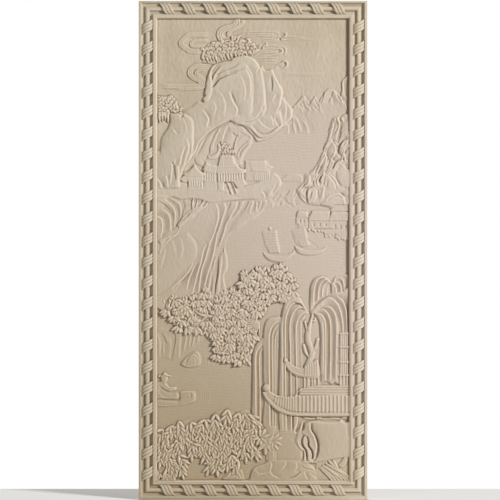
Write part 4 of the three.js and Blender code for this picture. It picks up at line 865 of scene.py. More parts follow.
def draw_shore(relief):
    """The halls on the far shore, with rocks below."""
    low = dict(hard=True, edge=3, gap=1.0, basin=0.5)
    shape(relief, [(206, 158), (264, 158), (264, 106), (206, 108)], 4, **low)
    shape(relief, [(206, 172), (217, 192), (262, 186), (268, 158), (210, 158)], 6, **low)
    straight(relief, (220, 186), (262, 182), (214, 160), (266, 160), 8, 1.8, 3.6)
    shape(relief, [(266, 148), (368, 148), (368, 104), (266, 104)], 4, **low)
    shape(relief, [(266, 162), (280, 184), (284, 190), (372, 190), (368, 143), (264, 143)], 6.5,
          **low)
    straight(relief, (286, 186), (368, 186), (270, 148), (366, 148), 13, 1.8, 3.6)
    shape(relief, [(364, 150), (480, 150), (480, 102), (364, 104)], 4.5, **low)
    shape(relief, [(366, 190), (386, 221), (480, 221), (480, 187), (370, 187)], 6.5, **low)
    straight(relief, (388, 216), (470, 216), (378, 192), (470, 192), 11, 1.4, 3.6)
    shape(relief, [(362, 146), (376, 187), (480, 187), (480, 143), (364, 143)], 7.5, **low)
    straight(relief, (380, 182), (470, 182), (368, 148), (470, 148), 13, 1.8, 3.6)
    ridges(relief, [([(217, 192), (208, 172), (214, 162)], -4, 4, 3),
                    ([(284, 190), (268, 166), (264, 150)], -4, 5, 3),
                    ([(386, 221), (370, 192), (372, 180), (363, 150)], -4, 5, 3),
                    ([(264, 145), (470, 144)], 2.5, 4, 4, 1.0, 0),
                    ([(370, 188), (470, 188)], 2.5, 4, 4, 1.0, 0),
                    ([(284, 190), (370, 189)], 1.6, 4, 4, 1.0, 0),
                    ([(210, 158), (264, 158)], 2, 4, 4, 1.0, 0)])
    for x, z in ((227, 141), (245, 141), (212, 118), (293, 123), (322, 123), (350, 123), (395, 115),
                 (422, 112), (446, 112)):
        ridges(relief, [([(x, z + 9), (x, z - 9)], -5, 5, 5, 0.8, 0.3)])
    shape(relief, [(262, 110), (290, 104), (330, 100), (400, 104), (480, 104), (480, 48), (440, 52),
                   (410, 56), (392, 76), (368, 62), (354, 60), (346, 82), (310, 92), (276, 96)], 3,
          edge=7, dome=2, dome_width=10, basin=1)
    rng = np.random.default_rng(8)
    for x, z in ((272, 100), (286, 98), (300, 96), (316, 94), (332, 92), (350, 86), (352, 70),
                 (372, 72), (388, 84), (404, 66), (418, 58), (432, 62), (446, 56), (420, 80),
                 (440, 84)):
        leaf(relief, x - 7, z + 4, rng.uniform(-1.4, -0.3), 17, 12, 3, 2.6, gap=1)


def scatter(outline, spacing, rng, jitter=0.25):
    """Even, slightly shaken places within an outline, from the bottom row up."""
    line = curve(outline, closed=True)
    low, high = line.min(axis=0), line.max(axis=0)
    places = []
    for j in range(int((high[1] - low[1]) / (spacing * 0.87)) + 1):
        for i in range(int((high[0] - low[0]) / spacing) + 2):
            x = low[0] + (i + (j % 2) / 2) * spacing + rng.uniform(-jitter, jitter) * spacing
            z = low[1] + j * spacing * 0.87 + rng.uniform(-jitter, jitter) * spacing
            if inside(line, np.array([[x]]), np.array([[z]]))[0, 0]:
                places.append((x, z))
    return places


MID_CLUMP = [(-430, -262), (-432, -246), (-424, -236), (-408, -226), (-360, -224), (-300, -218),
             (-250, -200), (-222, -206), (-205, -213), (-190, -226), (-165, -218), (-150, -198),
             (-130, -188), (-105, -184), (-84, -196), (-60, -214), (-20, -236), (30, -250),
             (70, -290), (40, -326), (0, -346), (20, -400), (24, -440), (-6, -470), (-10, -536),
             (-30, -556), (-60, -540), (-150, -534), (-174, -512), (-188, -470), (-194, -428),
             (-240, -406), (-285, -388), (-338, -390), (-364, -378), (-384, -352), (-402, -322),
             (-418, -292)]


def draw_middle_trees(relief):
    """The broad-leaved trees across the middle, their trunks, and the rock in the water."""
    shape(relief, [(-480, -380), (-380, -380), (-250, -400), (-262, -450), (-282, -470),
                   (-300, -480), (-330, -490), (-352, -524), (-386, -540), (-400, -530),
                   (-440, -520), (-480, -520)], 3.5, edge=14, basin=0, gap=0, folds=[
        ([(-345, -405), (-350, -450), (-353, -520)], 6, 10),
        ([(-318, -405), (-322, -440), (-330, -480)], 6, 9),
        ([(-298, -405), (-302, -440), (-306, -466)], 5, 9),
        ([(-278, -405), (-284, -436), (-290, -462)], 6, 9),
        ([(-258, -410), (-262, -445)], 5, 8),
        ([(-376, -400), (-372, -432), (-384, -490), (-390, -524)], -7, 12),
        ([(-440, -396), (-424, -424), (-412, -452)], -5, 9),
        ([(-456, -400), (-446, -450), (-448, -510)], 5, 10),
        ([(-400, -420), (-394, -470), (-402, -530)], 5, 12), ([(-430, -440), (-428, -500)], 3, 10)])
    foliage(relief, MID_CLUMP, 16, 21, 44)
    foliage(relief, UPPER_CLUMP, 17, 22, 42)
    shape(relief, [(-290, -282), (-262, -298), (-240, -310), (-206, -312), (-204, -326),
                   (-214, -342), (-240, -346), (-262, -326), (-282, -304)], 3, edge=4, gap=3)
    strand(relief, [(-200, -318), (-246, -312), (-290, -284)], 6, 5, 8)
    strand(relief, [(-222, -320), (-240, -332), (-252, -348)], 5, 5, 5)
    for k in range(9):
        leaf(relief, 30, -344, math.radians(165 + k * 13), 70, 8, 8, 4, gap=1.5, plump=0.9)
    shape(relief, [(-350, -552), (-346, -540), (-328, -518), (-302, -496), (-276, -484),
                   (-256, -496), (-248, -522), (-250, -548), (-262, -558), (-282, -564),
                   (-312, -568), (-338, -560)], 7, edge=7, dome=2, dome_width=10, gap=2.5, folds=[
        ([(-326, -552), (-312, -530), (-300, -508), (-284, -502), (-268, -516), (-264, -552)],
         4, 8),
        ([(-268, -490), (-258, -510), (-256, -548)], 3, 7),
        ([(-290, -512), (-276, -530), (-280, -556)], 3, 8),
        ([(-330, -522), (-324, -540), (-330, -556)], 2.5, 8)])
    lines(relief, [[(-236, -506), (-228, -530), (-234, -556)],
                   [(-224, -500), (-214, -530), (-222, -560)],
                   [(-340, -572), (-300, -580), (-256, -572)]], 2)


def strand(relief, points, base, rise=6, half=6.5, ring=2.2):
    """One rounded strand or finger, narrowing at its end, laid over what is there."""
    line = curve(points, steps=6)
    found = relief.window(line.min(axis=0) - half - 4, line.max(axis=0) + half + 4)
    if found is None:
        return
    where, x, z = found
    d, share, _ = near(line, x, z)
    wide = half * np.clip(1.2 - share ** 3, 0.4, 1)
    over = d < wide
    form = base + rise * np.sqrt(np.clip(1 - (d / wide) ** 2, 0, 1))
    h = relief.h[where] - np.where(over, 0, ring * np.clip(1 - (d - wide) / 3.2, 0, 1))
    relief.h[where] = np.where(over, np.maximum(form, h * 0.5), h)


def draw_willows(relief):
    """Hanging willows: broad tresses that arch over from each fork and fall."""
    tall = dict(edge=8, gap=2.5, basin=2.5, cut=1.7)
    shape(relief, [(274, -300), (272, -207), (276, -167), (290, -140), (314, -126), (338, -124),
                   (358, -132), (374, -150), (380, -150), (394, -128), (418, -117), (442, -115),
                   (480, -123), (480, -240), (380, -220), (320, -240)], 8, folds=[
        ([(294, -262), (296, -207), (302, -167), (318, -141), (340, -131)], 7, 15),
        ([(316, -245), (318, -199), (326, -167), (346, -147), (360, -141)], 7, 15),
        ([(336, -235), (338, -187), (350, -163), (368, -152)], 7, 14),
        ([(356, -225), (360, -185), (370, -162)], 5, 11),
        ([(404, -130), (426, -133), (438, -153), (443, -210)], 7, 13),
        ([(396, -150), (412, -152), (424, -170), (430, -210)], 7, 13),
        ([(390, -165), (400, -175), (406, -215)], 6, 11), ([(378, -160), (378, -210)], -5, 10)],
        **tall)
    shape(relief, [(272, -297), (306, -260), (346, -221), (386, -204), (426, -198), (480, -207),
                   (480, -646), (405, -646), (392, -640), (376, -648), (350, -634), (322, -640),
                   (320, -560), (322, -480), (322, -408), (318, -359), (310, -330), (296, -312),
                   (280, -310)], 9, folds=[
        ([(406, -221), (434, -245), (450, -287), (454, -327), (456, -400)], 6, 15),
        ([(300, -272), (330, -245), (362, -226), (388, -236), (412, -263), (426, -303), (434, -351),
          (436, -400)], 6, 15),
        ([(338, -271), (362, -268), (386, -285), (402, -319), (410, -359), (412, -408),
          (412, -640)], 8, 14),
        ([(318, -287), (338, -283), (358, -299), (370, -327), (376, -368), (377, -480),
          (376, -624)], 9, 11),
        ([(302, -303), (326, -306), (342, -323), (350, -351), (352, -408), (352, -644)], 9, 11),
        ([(398, -330), (404, -380), (402, -520), (402, -636)], 3, 11),
        ([(334, -340), (340, -400), (340, -600)], 2.5, 11)], **tall)
    shape(relief, [(-6, -880), (-8, -700), (-6, -600), (-5, -520), (0, -480), (12, -455),
                   (25, -440),
                   (56, -428), (60, -600), (60, -880)], 8, folds=[
        ([(46, -456), (26, -480), (16, -516), (16, -616), (17, -870)], 7, 15),
        ([(46, -478), (38, -496), (33, -536), (36, -640), (38, -870)], 7, 14),
        ([(46, -500), (44, -560), (50, -640), (52, -870)], 5, 10)], **tall)
    shape(relief, [(50, -880), (52, -700), (46, -600), (46, -480), (48, -408), (52, -363),
                   (64, -335), (82, -323), (106, -319), (136, -321), (140, -366), (140, -880)],
                   9, folds=[
        ([(124, -345), (102, -360), (88, -383), (81, -416), (80, -480), (82, -640), (84, -870)],
         8, 16),
        ([(126, -362), (108, -381), (96, -416), (94, -480), (96, -640), (98, -870)], 6, 12),
        ([(126, -386), (111, -420), (107, -480), (108, -640), (110, -870)], 6, 12),
        ([(126, -404), (119, -480), (120, -870)], 5, 11)], **tall)
    shape(relief, [(127, -880), (127, -480), (128, -368), (136, -307), (146, -263), (162, -235),
                   (186, -221), (210, -219), (230, -231), (246, -259), (262, -291), (272, -305),
                   (262, -314), (252, -326), (242, -350), (236, -388), (236, -880)], 10, folds=[
        ([(254, -286), (232, -259), (210, -254), (188, -266), (174, -287), (162, -327), (158, -368),
          (158, -480), (160, -680), (162, -870)], 9, 17),
        ([(262, -297), (246, -284), (226, -279), (206, -291), (190, -319), (182, -351), (180, -388),
          (183, -480), (186, -680), (188, -870)], 8, 16),
        ([(266, -303), (246, -307), (226, -323), (214, -351), (210, -388), (210, -480), (214, -680),
          (214, -870)], 8, 16),
        ([(222, -262), (200, -246), (176, -256), (158, -282)], 3, 12),
        ([(144, -330), (142, -400), (144, -520), (145, -870)], 3, 13),
        ([(196, -400), (197, -520), (200, -870)], 3, 12)], **tall)
    shape(relief, [(240, -372), (250, -330), (266, -312), (284, -312), (300, -322), (312, -345),
                   (320, -400), (320, -500), (300, -530), (262, -552), (238, -548), (238, -440)],
          0.6, edge=5, basin=0, gap=0)
    mark_drilled_shade(relief, [(244, -340), (252, -330), (262, -400), (252, -470), (262, -540), (240, -540)])
    strand(relief, [(258, -566), (274, -530), (284, -494), (274, -462), (264, -430), (266, -392),
                    (276, -352), (286, -312)], 2, 9, 15, ring=1)
    strand(relief, [(312, -430), (302, -466), (284, -496)], 2, 7, 9, ring=1)
    strand(relief, [(244, -458), (254, -492), (268, -516)], 2, 7, 8, ring=1)
    strand(relief, [(250, -344), (256, -372), (264, -396)], 2, 6, 5, ring=1)
    strand(relief, [(300, -330), (296, -342), (284, -334)], 2, 6, 5, ring=1)


def draw_house(relief):
    """The great house: upper storey and roof with an upturned horn, and the wide roof below."""
    low = dict(hard=True, edge=3, gap=1.5, basin=1)
    shape(relief, [(413, -398), (480, -398), (480, -650), (413, -650)], 8, **low)
    for z in (-400, -466, -538, -602):
        ridges(relief, [([(414, z), (466, z)], 6, 7, 7, 0.7, 0)])
    straight(relief, (418, -406), (458, -406), (418, -600), (458, -600), 4, 4, 4.5)
    ridges(relief, [([(x, -606), (x, -648)], 5, 6, 6, 0.7, 0) for x in (420, 436, 452)])
    shape(relief, [(236, -596), (330, -596), (330, -680), (236, -680)], 3, **low)
    for x, width in ((248, 6), (265, 11), (284, 5), (296, 7), (314, 6)):
        ridges(relief, [([(x, -606), (x, -662)], 8, width, width, 0.5, 0)])
    shape(relief, [(226, -668), (300, -650), (480, -650), (480, -704), (216, -704)], 9, **low)
    for z in (-656, -668, -680, -692):
        ridges(relief, [([(304 if z > -660 else 228, z), (470, z)], 4.5, 4.5, 4.5, 0.8, 0)])
    shape(relief, [(150, -540), (153, -528), (162, -525), (172, -536), (192, -553), (216, -564),
                   (238, -566), (262, -555), (286, -537), (314, -530), (318, -614), (242, -614),
                   (208, -607), (180, -590), (160, -566)], 11, edge=5, gap=3)
    straight(relief, (248, -562), (314, -538), (246, -598), (316, -600), 6, 4.5, 6.5)
    ridges(relief, [([(156, -536), (168, -562), (186, -582), (214, -596), (246, -603), (318, -606)],
                     4.5, 6, 6), ([(176, -546), (196, -566), (222, -578), (250, -580)], -3, 3, 3),
                    ([(160, -528), (190, -553), (216, -564), (240, -565), (262, -553), (284, -538),
                      (312, -532)], 4, 4, 4)])
    shape(relief, [(146, -530), (151, -519), (160, -517), (168, -525), (166, -537), (156, -542),
                   (149, -538)], 17, edge=5, dome=2, dome_width=4)
    shape(relief, [(44, -684), (66, -678), (85, -681), (110, -695), (150, -706), (190, -704),
                   (206, -692), (228, -664), (238, -672), (222, -700), (480, -700), (480, -800),
                   (220, -800), (180, -797), (140, -787), (105, -767), (80, -742), (60, -717)], 13,
          edge=4, gap=3, basin=2.5)
    straight(relief, (214, -704), (476, -704), (214, -778), (476, -778), 14, 4.8, 8)
    for k in range(9):
        t = k / 8
        top = (112 + 92 * t, -704 - 4 * math.sin(math.pi * t) + 4 * t)
        foot = (104 + 102 * t, -734 - 42 * t ** 0.6)
        ridges(relief, [([top, foot], 4.0, 5, 5, 1.0, 0)])
    ridges(relief, [([(50, -686), (62, -708), (84, -734), (114, -761), (150, -778), (200, -789),
                      (250, -791), (474, -791)], 5, 9, 9, 0.5, 0.2),
                    ([(66, -696), (90, -722), (120, -746), (150, -762), (200, -778), (474, -781)],
                     -5, 3.5, 3.5, 1, 0.3),
                    ([(66, -680), (90, -684), (112, -697), (150, -707), (190, -704), (207, -691),
                      (229, -664)], 5, 5, 5), ([(80, -692), (104, -708), (130, -716)], -3, 4, 4)])
    shape(relief, [(44, -662), (48, -649), (60, -642), (74, -646), (81, -658), (79, -672),
                   (68, -682), (52, -678)], 15, edge=7, dome=5, dome_width=7, gap=3)
    shape(relief, [(240, -800), (480, -800), (480, -816), (240, -816)], 2, **low)
    for x in (262, 300, 318, 380, 400, 440):
        ridges(relief, [([(x - 8, -808), (x + 8, -808)], 5, 6, 6, 0.6, 0)])
    shape(relief, [(196, -800), (220, -800), (216, -836), (204, -872), (196, -872)], 9, **low)
    ridges(relief, [([(238, -800), (222, -836), (204, -874)], -9, 8, 7, 0.8, 0.2),
                    ([(190, -802), (190, -872)], -5, 4, 4, 1, 0)])


def draw_foreground(relief):
    """The terrace wall, the rocks at the lower right and the roots in the corner."""
    low = dict(hard=True, edge=3, gap=2, basin=1)
    shape(relief, [(62, -874), (240, -874), (240, -1016), (62, -1016)], 6.5, **low)
    ridges(relief, [([(116, -880), (236, -880)], 2, 5, 5, 0.7, 0),
                    ([(116, -1008), (236, -1008)], -2, 4, 4, 1.0, 0)])
    shape(relief, [(72, -846), (112, -846), (112, -1036), (72, -1036)], 9, **low)
    creases(relief, [([(101, -848), (101, -1034)], 4, 6)])
    shape(relief, [(205, -905), (214, -880), (240, -862), (250, -830), (300, -818), (340, -822),
                   (400, -822), (424, -812), (446, -826), (480, -830), (480, -1020), (330, -1030),
                   (270, -1030), (236, -1044), (234, -1018), (240, -1000), (240, -972), (226, -958),
                   (210, -938), (203, -922)], 12, edge=9, dome=3, dome_width=14, lean=(2, 0), gap=3)
    relief_folds = [
        ([(246, -892), (238, -916), (242, -940), (258, -964), (262, -992), (262, -1016)], -14, 9),
        ([(262, -896), (270, -922), (270, -940), (286, -964), (290, -992), (286, -1010)], -13, 9),
        ([(252, -886), (262, -896)], -5, 6),
        ([(276, -832), (278, -866), (296, -896), (308, -945), (298, -1000)], 9, 11),
        ([(236, -874), (246, -886), (252, -896)], -4, 8),
        ([(226, -900), (222, -930), (236, -956)], 2, 9),
        ([(440, -830), (452, -860), (450, -900)], 2, 12)]
    creases(relief, relief_folds)
    ridges(relief, [(fold[0], -9, 7, 7, 1, 0.3) for fold in relief_folds[:2]])
    ridges(relief, [([(236, -806), (228, -830), (218, -856), (208, -878)], -13, 11, 9, 1.6, 0.2),
                    ([(250, -803), (306, -807)], -10, 6, 6, 1.6, 0.2),
                    ([(330, -806), (430, -806)], -6, 5, 5, 1, 0.2)])
    mark_drilled_shade(relief, [(204, -880), (250, -880), (320, -930), (316, -1000), (250, -1020), (230, -960)])
    mark_drilled_shade(relief, [(214, -800), (300, -800), (300, -816), (250, -824), (224, -876), (206, -876)])
    ridges(relief, [([(282, -832), (284, -866), (304, -900), (315, -945), (304, -1000),
                      (286, -1020)],
                     -11, 8, 7, 1, 0.3)])
    shape(relief, [(-18, -1096), (-14, -1076), (-6, -1056), (6, -1044), (26, -1034), (50, -1026),
                   (74, -1012), (120, -1008), (200, -1010), (262, -1020), (300, -1050),
                   (330, -1100),
                   (330, -1130), (-26, -1130)], 8, edge=9, dome=3, dome_width=16, gap=2.5, folds=[
        ([(86, -1018), (92, -1040), (84, -1062), (98, -1084), (130, -1098)], 5, 13),
        ([(160, -1014), (158, -1036), (146, -1052), (132, -1062)], 5, 11),
        ([(208, -1020), (214, -1046), (200, -1060)], 4, 10),
        ([(236, -1030), (250, -1046), (300, -1056)], -4, 8),
        ([(234, -1068), (210, -1088), (196, -1096), (168, -1104)], -8, 8),
        ([(248, -1066), (254, -1086), (264, -1104)], 5, 10),
        ([(270, -1070), (290, -1086), (318, -1098)], 4, 9),
        ([(10, -1054), (30, -1074), (80, -1066)], 3, 10),
        ([(0, -1080), (20, -1092), (50, -1078)], 3, 9)])
    shape(relief, [(-152, -1104), (-144, -1088), (-124, -1070), (-106, -1062), (-84, -1062),
                   (-56, -1054), (-46, -1076), (-40, -1104), (-60, -1112), (-120, -1112)],
                   7, edge=8,
          dome=2, dome_width=10, gap=3, folds=[
        ([(-106, -1066), (-124, -1084), (-146, -1102)], -6, 8),
        ([(-74, -1062), (-62, -1084), (-54, -1104)], 5, 9),
        ([(-112, -1092), (-84, -1086), (-66, -1100)], 4, 8)])
    shape(relief, [(300, -1030), (340, -1010), (480, -1000), (480, -1130), (318, -1130)], 6, edge=9,
          gap=1, basin=1)
    for k in range(7):
        x, z = 318 + k * 7, -1046 + k * 2.2
        strand(relief, [(x + 76 + k * 8, z - 80), (x + 50 + k * 6, z - 46),
                        (x + 24 + k * 3, z - 20),
                        (x, z)], 6, 8, 6.5, ring=3)
    for angle, length, x, z in ((-36, 120, 334, -1034), (-30, 118, 348, -1026),
                                (-44, 64, 362, -1012),
                                (-58, 50, 384, -1010)):
        leaf(relief, x, z, math.radians(angle), length, 17, 9, 8, vein=2)
    shape(relief, [(408, -1036), (424, -1016), (440, -992), (458, -1000), (450, -1030),
                   (430, -1048)], 12, edge=5, gap=3)


def draw_fisherman(relief):
    """A fisherman in a wide hat, sitting in a low boat with a plain, downturned face."""
    shape(relief, [(-480, -718), (-400, -722), (-356, -722), (-356, -684), (-340, -676),
                   (-290, -676), (-276, -684), (-272, -704), (-280, -730), (-310, -742),
                   (-350, -750), (-480, -754)], 5.5, edge=6, dome=1.5, dome_width=8, gap=1.5,
                   folds=[
        ([(-286, -682), (-278, -700), (-284, -722)], 5, 8),
        ([(-298, -684), (-294, -700), (-300, -712)], -4, 6)])
    ridges(relief, [([(-470, -744), (-360, -742), (-300, -732)], -2.5, 4, 4),
                    ([(-350, -682), (-296, -680)], 2.5, 4, 4),
                    ([(-350, -712), (-300, -710)], -2, 4, 4)])
    shape(relief, [(-480, -640), (-452, -632), (-440, -624), (-418, -632), (-408, -648),
                   (-400, -660), (-390, -676), (-362, -684), (-354, -700), (-362, -718),
                   (-400, -720), (-452, -718), (-480, -714)], 7, edge=7, dome=3, dome_width=10,
          gap=2.5, folds=[([(-446, -650), (-428, -668), (-396, -680), (-364, -682)], -6, 8),
                          ([(-438, -640), (-424, -650), (-416, -664)], 3, 8),
                          ([(-452, -660), (-448, -690), (-420, -712)], 3, 9)])
    shape(relief, [(-436, -634), (-418, -640), (-404, -654), (-376, -656), (-366, -664),
                   (-372, -676), (-394, -680), (-420, -672)], 10, edge=5, dome=1.5, gap=1.5)
    shape(relief, [(-446, -604), (-412, -606), (-408, -618), (-414, -634), (-428, -640),
                   (-442, -630)], 8, edge=5, dome=3, dome_width=7, gap=1.5)
    shape(relief, [(-458, -602), (-440, -600), (-432, -588), (-420, -588), (-408, -598),
                   (-392, -606), (-402, -611), (-424, -608), (-446, -610), (-456, -618)], 11,
          edge=5, dome=2, dome_width=6, gap=2)
    ridges(relief, [([(-376, -656), (-340, -638), (-300, -620)], 2.4, 3, 3, 0.8, 0.2)])
    for k in range(5):
        r = 46 + k * 10
        arc = [(-296 + r * math.cos(t), -700 + r * 0.95 * math.sin(t))
               for t in np.linspace(-1.0, 1.5, 11)]
        ridges(relief, [(arc, 2.2, 3.5, 3.5)])


LOW_CLUMP = [(-468, -872), (-440, -866), (-415, -868), (-400, -850), (-385, -834), (-360, -826),
             (-335, -819), (-305, -814), (-285, -828), (-265, -838), (-245, -828), (-210, -803),
             (-190, -782), (-165, -768), (-130, -762), (-110, -766), (-80, -786), (-50, -768),
             (-20, -770), (15, -808), (58, -844), (66, -872), (40, -920), (0, -962), (-10, -990),
             (-50, -954), (-72, -1008), (-60, -1030), (-100, -1040), (-150, -1070), (-186, -1034),
             (-220, -1046), (-250, -1010), (-280, -982), (-334, -1002), (-350, -1040),
             (-360, -1080), (-405, -1076), (-468, -1090)]


def draw_low_trees(relief):
    """The drooping sprays across the lower left, and the star leaves beside them."""
    shape(relief, LOW_CLUMP, 3, edge=10, dome=2, dome_width=25, gap=2)
    mark_drilled_shade(relief, LOW_CLUMP)
    rng = np.random.default_rng(43)
    places = [(x, z + 12) for x, z in scatter(LOW_CLUMP, 44, rng, 0.38)]
    places += [(-430, -884), (-385, -848), (-345, -834), (-300, -828), (-225, -816), (-140, -778),
               (-45, -786), (-170, -990), (-400, -1010)]
    for x, z in sorted(places, key=lambda place: place[1]):
        spray(relief, x, z, rng.uniform(-34, 34), rng.uniform(3.5, 9), rng)
    for x, z, start, end, count in ((36, -906, -60, 120, 5), (60, -930, -150, 60, 6),
                                    (34, -900, 150, 330, 5), (92, -918, -100, 60, 5)):
        fan(relief, x, z, count, start, end, 46, 20, 7, 7, rng, vein=2, gap=3, plump=0.6)


def crease(form, x, z, points, amount, wide=16.0):
    """An overlap along a line. Above nought the stone drops on the line's lit side and climbs
    back slowly, below nought it drops on the other side. The near side gets a slight lip."""
    line = curve(points)
    if line[0][1] < line[-1][1]:
        line = line[::-1]
    reach = wide * 2.4
    low, high = line.min(axis=0) - reach, line.max(axis=0) + reach
    cols = (x[0] >= low[0]) & (x[0] <= high[0])
    rows = (z[:, 0] >= low[1]) & (z[:, 0] <= high[1])
    if not cols.any() or not rows.any():
        return
    pick = np.ix_(rows, cols)
    d, share, side = near(line, x[pick], z[pick])
    s = d * side * np.sign(amount)
    ends = np.clip(np.sin(np.pi * share), 0, 1) ** 0.4
    blend = smoothstep((s + 2.5) / 6)
    value = 0.5 * np.exp(np.minimum(s, 0) / (wide * 0.5)) * (1 - blend)
    value -= 1.1 * np.exp(-np.maximum(s, 0) / (wide * 0.75)) * blend
    form[pick] += FOLD_DEPTH * abs(amount) * ends * value


def creases(relief, folds):
    """Overlaps laid straight on what is there, each (points, amount, width)."""
    for fold in folds:
        line = np.array(fold[0], dtype=float)
        found = relief.window(line.min(axis=0) - 40, line.max(axis=0) + 40)
        if found:
            where, x, z = found
            crease(relief.h[where], x, z, fold[0], fold[1], 1.35 * max(fold[2:]))


def lines(relief, many, rise=2.6, half=3.4):
    """Thin raised lines, as the clouds and ripples are cut."""
    for points in many:
        ridges(relief, [(points, rise, half, half, 1.0, 0.35)])


def curl(relief, x, z, angle, length, half, base, rise, bend):
    """One short bent finger of foliage."""
    points = [(x + length * t * math.cos(angle + bend * t),
               z + length * t * math.sin(angle + bend * t))
              for t in (0, 0.35, 0.7, 1)]
    strand(relief, points, base, rise, half, ring=3.0)


def soften(h):
    """Rubs the surface once with a small kernel."""
    for axis in (0, 1):
        pad = [(0, 0), (0, 0)]
        pad[axis] = (1, 1)
        p = np.pad(h, pad, mode="edge")
        n = h.shape[axis]
        a, b, c = (np.take(p, range(k, k + n), axis=axis) for k in range(3))
        h = 0.22 * a + 0.56 * b + 0.22 * c
    return h


UPPER_CLUMP = [(-66, -168), (-58, -130), (-20, -112), (18, -94), (40, -79), (62, -76), (86, -80),
               (110, -84), (134, -94), (157, -110), (172, -126), (187, -143), (200, -160),
               (204, -185), (196, -204), (184, -224), (150, -238), (115, -254), (80, -262),
               (50, -256), (20, -244), (-20, -236), (-60, -214)]


def foliage(relief, outline, rise, seed, spacing):
    """Bunches of plump leaves over a ground of single ones, within an outline."""
    shape(relief, outline, rise * 0.25, edge=9, dome=1.5, gap=2.5, basin=2)
    mark_drilled_shade(relief, outline, 1.5)
    rng = np.random.default_rng(seed)
    for x, z in scatter(outline, 21, rng, 0.35):
        angle = math.radians(rng.uniform(225, 315) + 180 * (rng.uniform() < 0.3))
        leaf(relief, x - 14 * math.cos(angle), z - 14 * math.sin(angle), angle, 29, 14.5,
             rise * rng.uniform(0.24, 0.34), 5.5, gap=2.5, plump=0.38)
    for x, z in sorted(scatter(outline, spacing, rng, 0.38), key=lambda place: place[1]):
        base = rise * rng.uniform(0.38, 0.62)
        down = 270 + rng.uniform(-30, 30)
        fan(relief, x, z, 3, down + 135, down + 225, 24, 14, base, 6, rng, away=0.3, gap=3,
            plump=0.36)
        fan(relief, x, z, 5, down - 62, down + 62, 34, 15.5, base + 1, 6.5, rng, away=0.1, gap=3,
            plump=0.36)


def mark_drilled_shade(relief, outline, amount=1.0):
    """Notes where the stone is drilled deep, so that its hollows get a deeper painted shade, dark
    and warm.
    """
    line = curve(outline, closed=True)
    found = relief.window(line.min(axis=0) - 12, line.max(axis=0) + 12)
    if found:
        where, x, z = found
        d, _, _ = near(line, x, z, closed=True)
        within = np.where(inside(line, x, z), 1.0, np.clip(1 - d / 10, 0, 1))
        relief.drilled[where] = np.maximum(relief.drilled[where], amount * within)


def spray(relief, x, z, lean, base, rng):
    """A hanging spray: pairs of keeled lance leaves down a stem, and one at its end."""
    down = math.radians(270 + lean)
    leaf(relief, x + 34 * math.cos(down), z + 34 * math.sin(down), down, 50, 17, base, 7, 2, 3,
         0.7)
    for k in (1, 0):
        foot = (x + 26 * k * math.cos(down), z + 26 * k * math.sin(down))
        for turn in (-0.62 + 0.1 * k, 0.62 - 0.1 * k):
            leaf(relief, *foot, down + turn + rng.uniform(-0.22, 0.22), rng.uniform(44, 56), 16.5,
                 base + 1.0 * (1 - k) + rng.uniform(0, 1.5), 7, 2, 3, 0.65)


def light_falloff_group():
    """A painted fall of light, from object coordinates: greyer light painted over the middle right
    and painted shade towards the lower left.
    """
    group, into, out = node_group("Painted light falloff", [("Unevenness", "NodeSocketFloat", 0.3)],
                                  [("Painted light pool", "NodeSocketFloat"), ("Painted shade pool", "NodeSocketFloat")])
    nodes, links = group.nodes, group.links
    place = add(nodes, "ShaderNodeTexCoord")
    flat = add(nodes, "ShaderNodeVectorMath", operation="MULTIPLY")
    flat.inputs[1].default_value = (1, 0, 0.6)
    links.new(place.outputs["Object"], flat.inputs[0])
    noise = add(nodes, "ShaderNodeTexNoise")
    noise.inputs["Scale"].default_value = 2.6
    noise.inputs["Detail"].default_value = 4
    links.new(place.outputs["Object"], noise.inputs["Vector"])
    for label, x, z, full, none in (("Painted light pool", 0.2, -0.03, 0.45, 0.95),
                                    ("Painted shade pool", -0.28, -0.82, 0.35, 1.25)):
        away = add(nodes, "ShaderNodeVectorMath", operation="DISTANCE")
        away.inputs[1].default_value = (x, 0, z)
        links.new(flat.outputs["Vector"], away.inputs[0])
        uneven = add(nodes, "ShaderNodeMath", operation="MULTIPLY_ADD")
        links.new(noise.outputs["Fac"], uneven.inputs[0])
        links.new(into.outputs["Unevenness"], uneven.inputs[1])
        links.new(away.outputs["Value"], uneven.inputs[2])
        share = add(nodes, "ShaderNodeMapRange", interpolation_type="SMOOTHSTEP")
        share.inputs["From Min"].default_value = none
        share.inputs["From Max"].default_value = full
        links.new(uneven.outputs["Value"], share.inputs["Value"])
        links.new(share.outputs["Result"], out.inputs[label])
    return group


def crags(relief, outline, angle, pitch, amount, seed):
    """Fine broken ridges along a direction, within an outline."""
    line = curve(outline, closed=True)
    where, x, z = relief.window(line.min(axis=0), line.max(axis=0))
    noise = np.random.default_rng(seed).normal(size=x.shape)
    drift = blur(noise, 7)
    drift = drift / drift.std()
    patch = blur(np.roll(noise, 9, axis=0), 5)
    patch = smoothstep(0.5 + 0.6 * patch / patch.std())
    c, s = math.cos(angle), math.sin(angle)
    across = (x * s - z * c + 9 * drift) / pitch
    ridge = 1 - 2 * np.abs(across % 1.0 - 0.35)
    relief.h[where] += np.where(inside(line, x, z), amount * ridge * patch, 0)


def tool_marks(relief, amount):
    """Fine marks of the chisel: uprights in the sky, level ripples on the water."""
    x, z = np.meshgrid(relief.x, relief.z)
    rng = np.random.default_rng(3)
    noise = rng.normal(size=relief.h.shape)
    upright = blur(noise, 1)
    upright = np.stack([upright, np.roll(upright, 3, 0), np.roll(upright, 6, 0)]).mean(axis=0)
    drift = blur(noise, 12)
    drift = drift / drift.std() * 5
    level = np.sin((z + 5 * np.sin(x / 34) + drift) * 2 * np.pi / 15)
    sky = smoothstep((z - 560) / 60)
    open_ground = np.clip(1 - relief.h / 3, 0, 1)
    upright = upright / upright.std()
    marks = upright * 0.85 * sky + (0.75 * level + 0.35 * upright) * (1 - sky)
    relief.h += amount * (marks * open_ground + 0.7 * upright * (1 - open_ground))


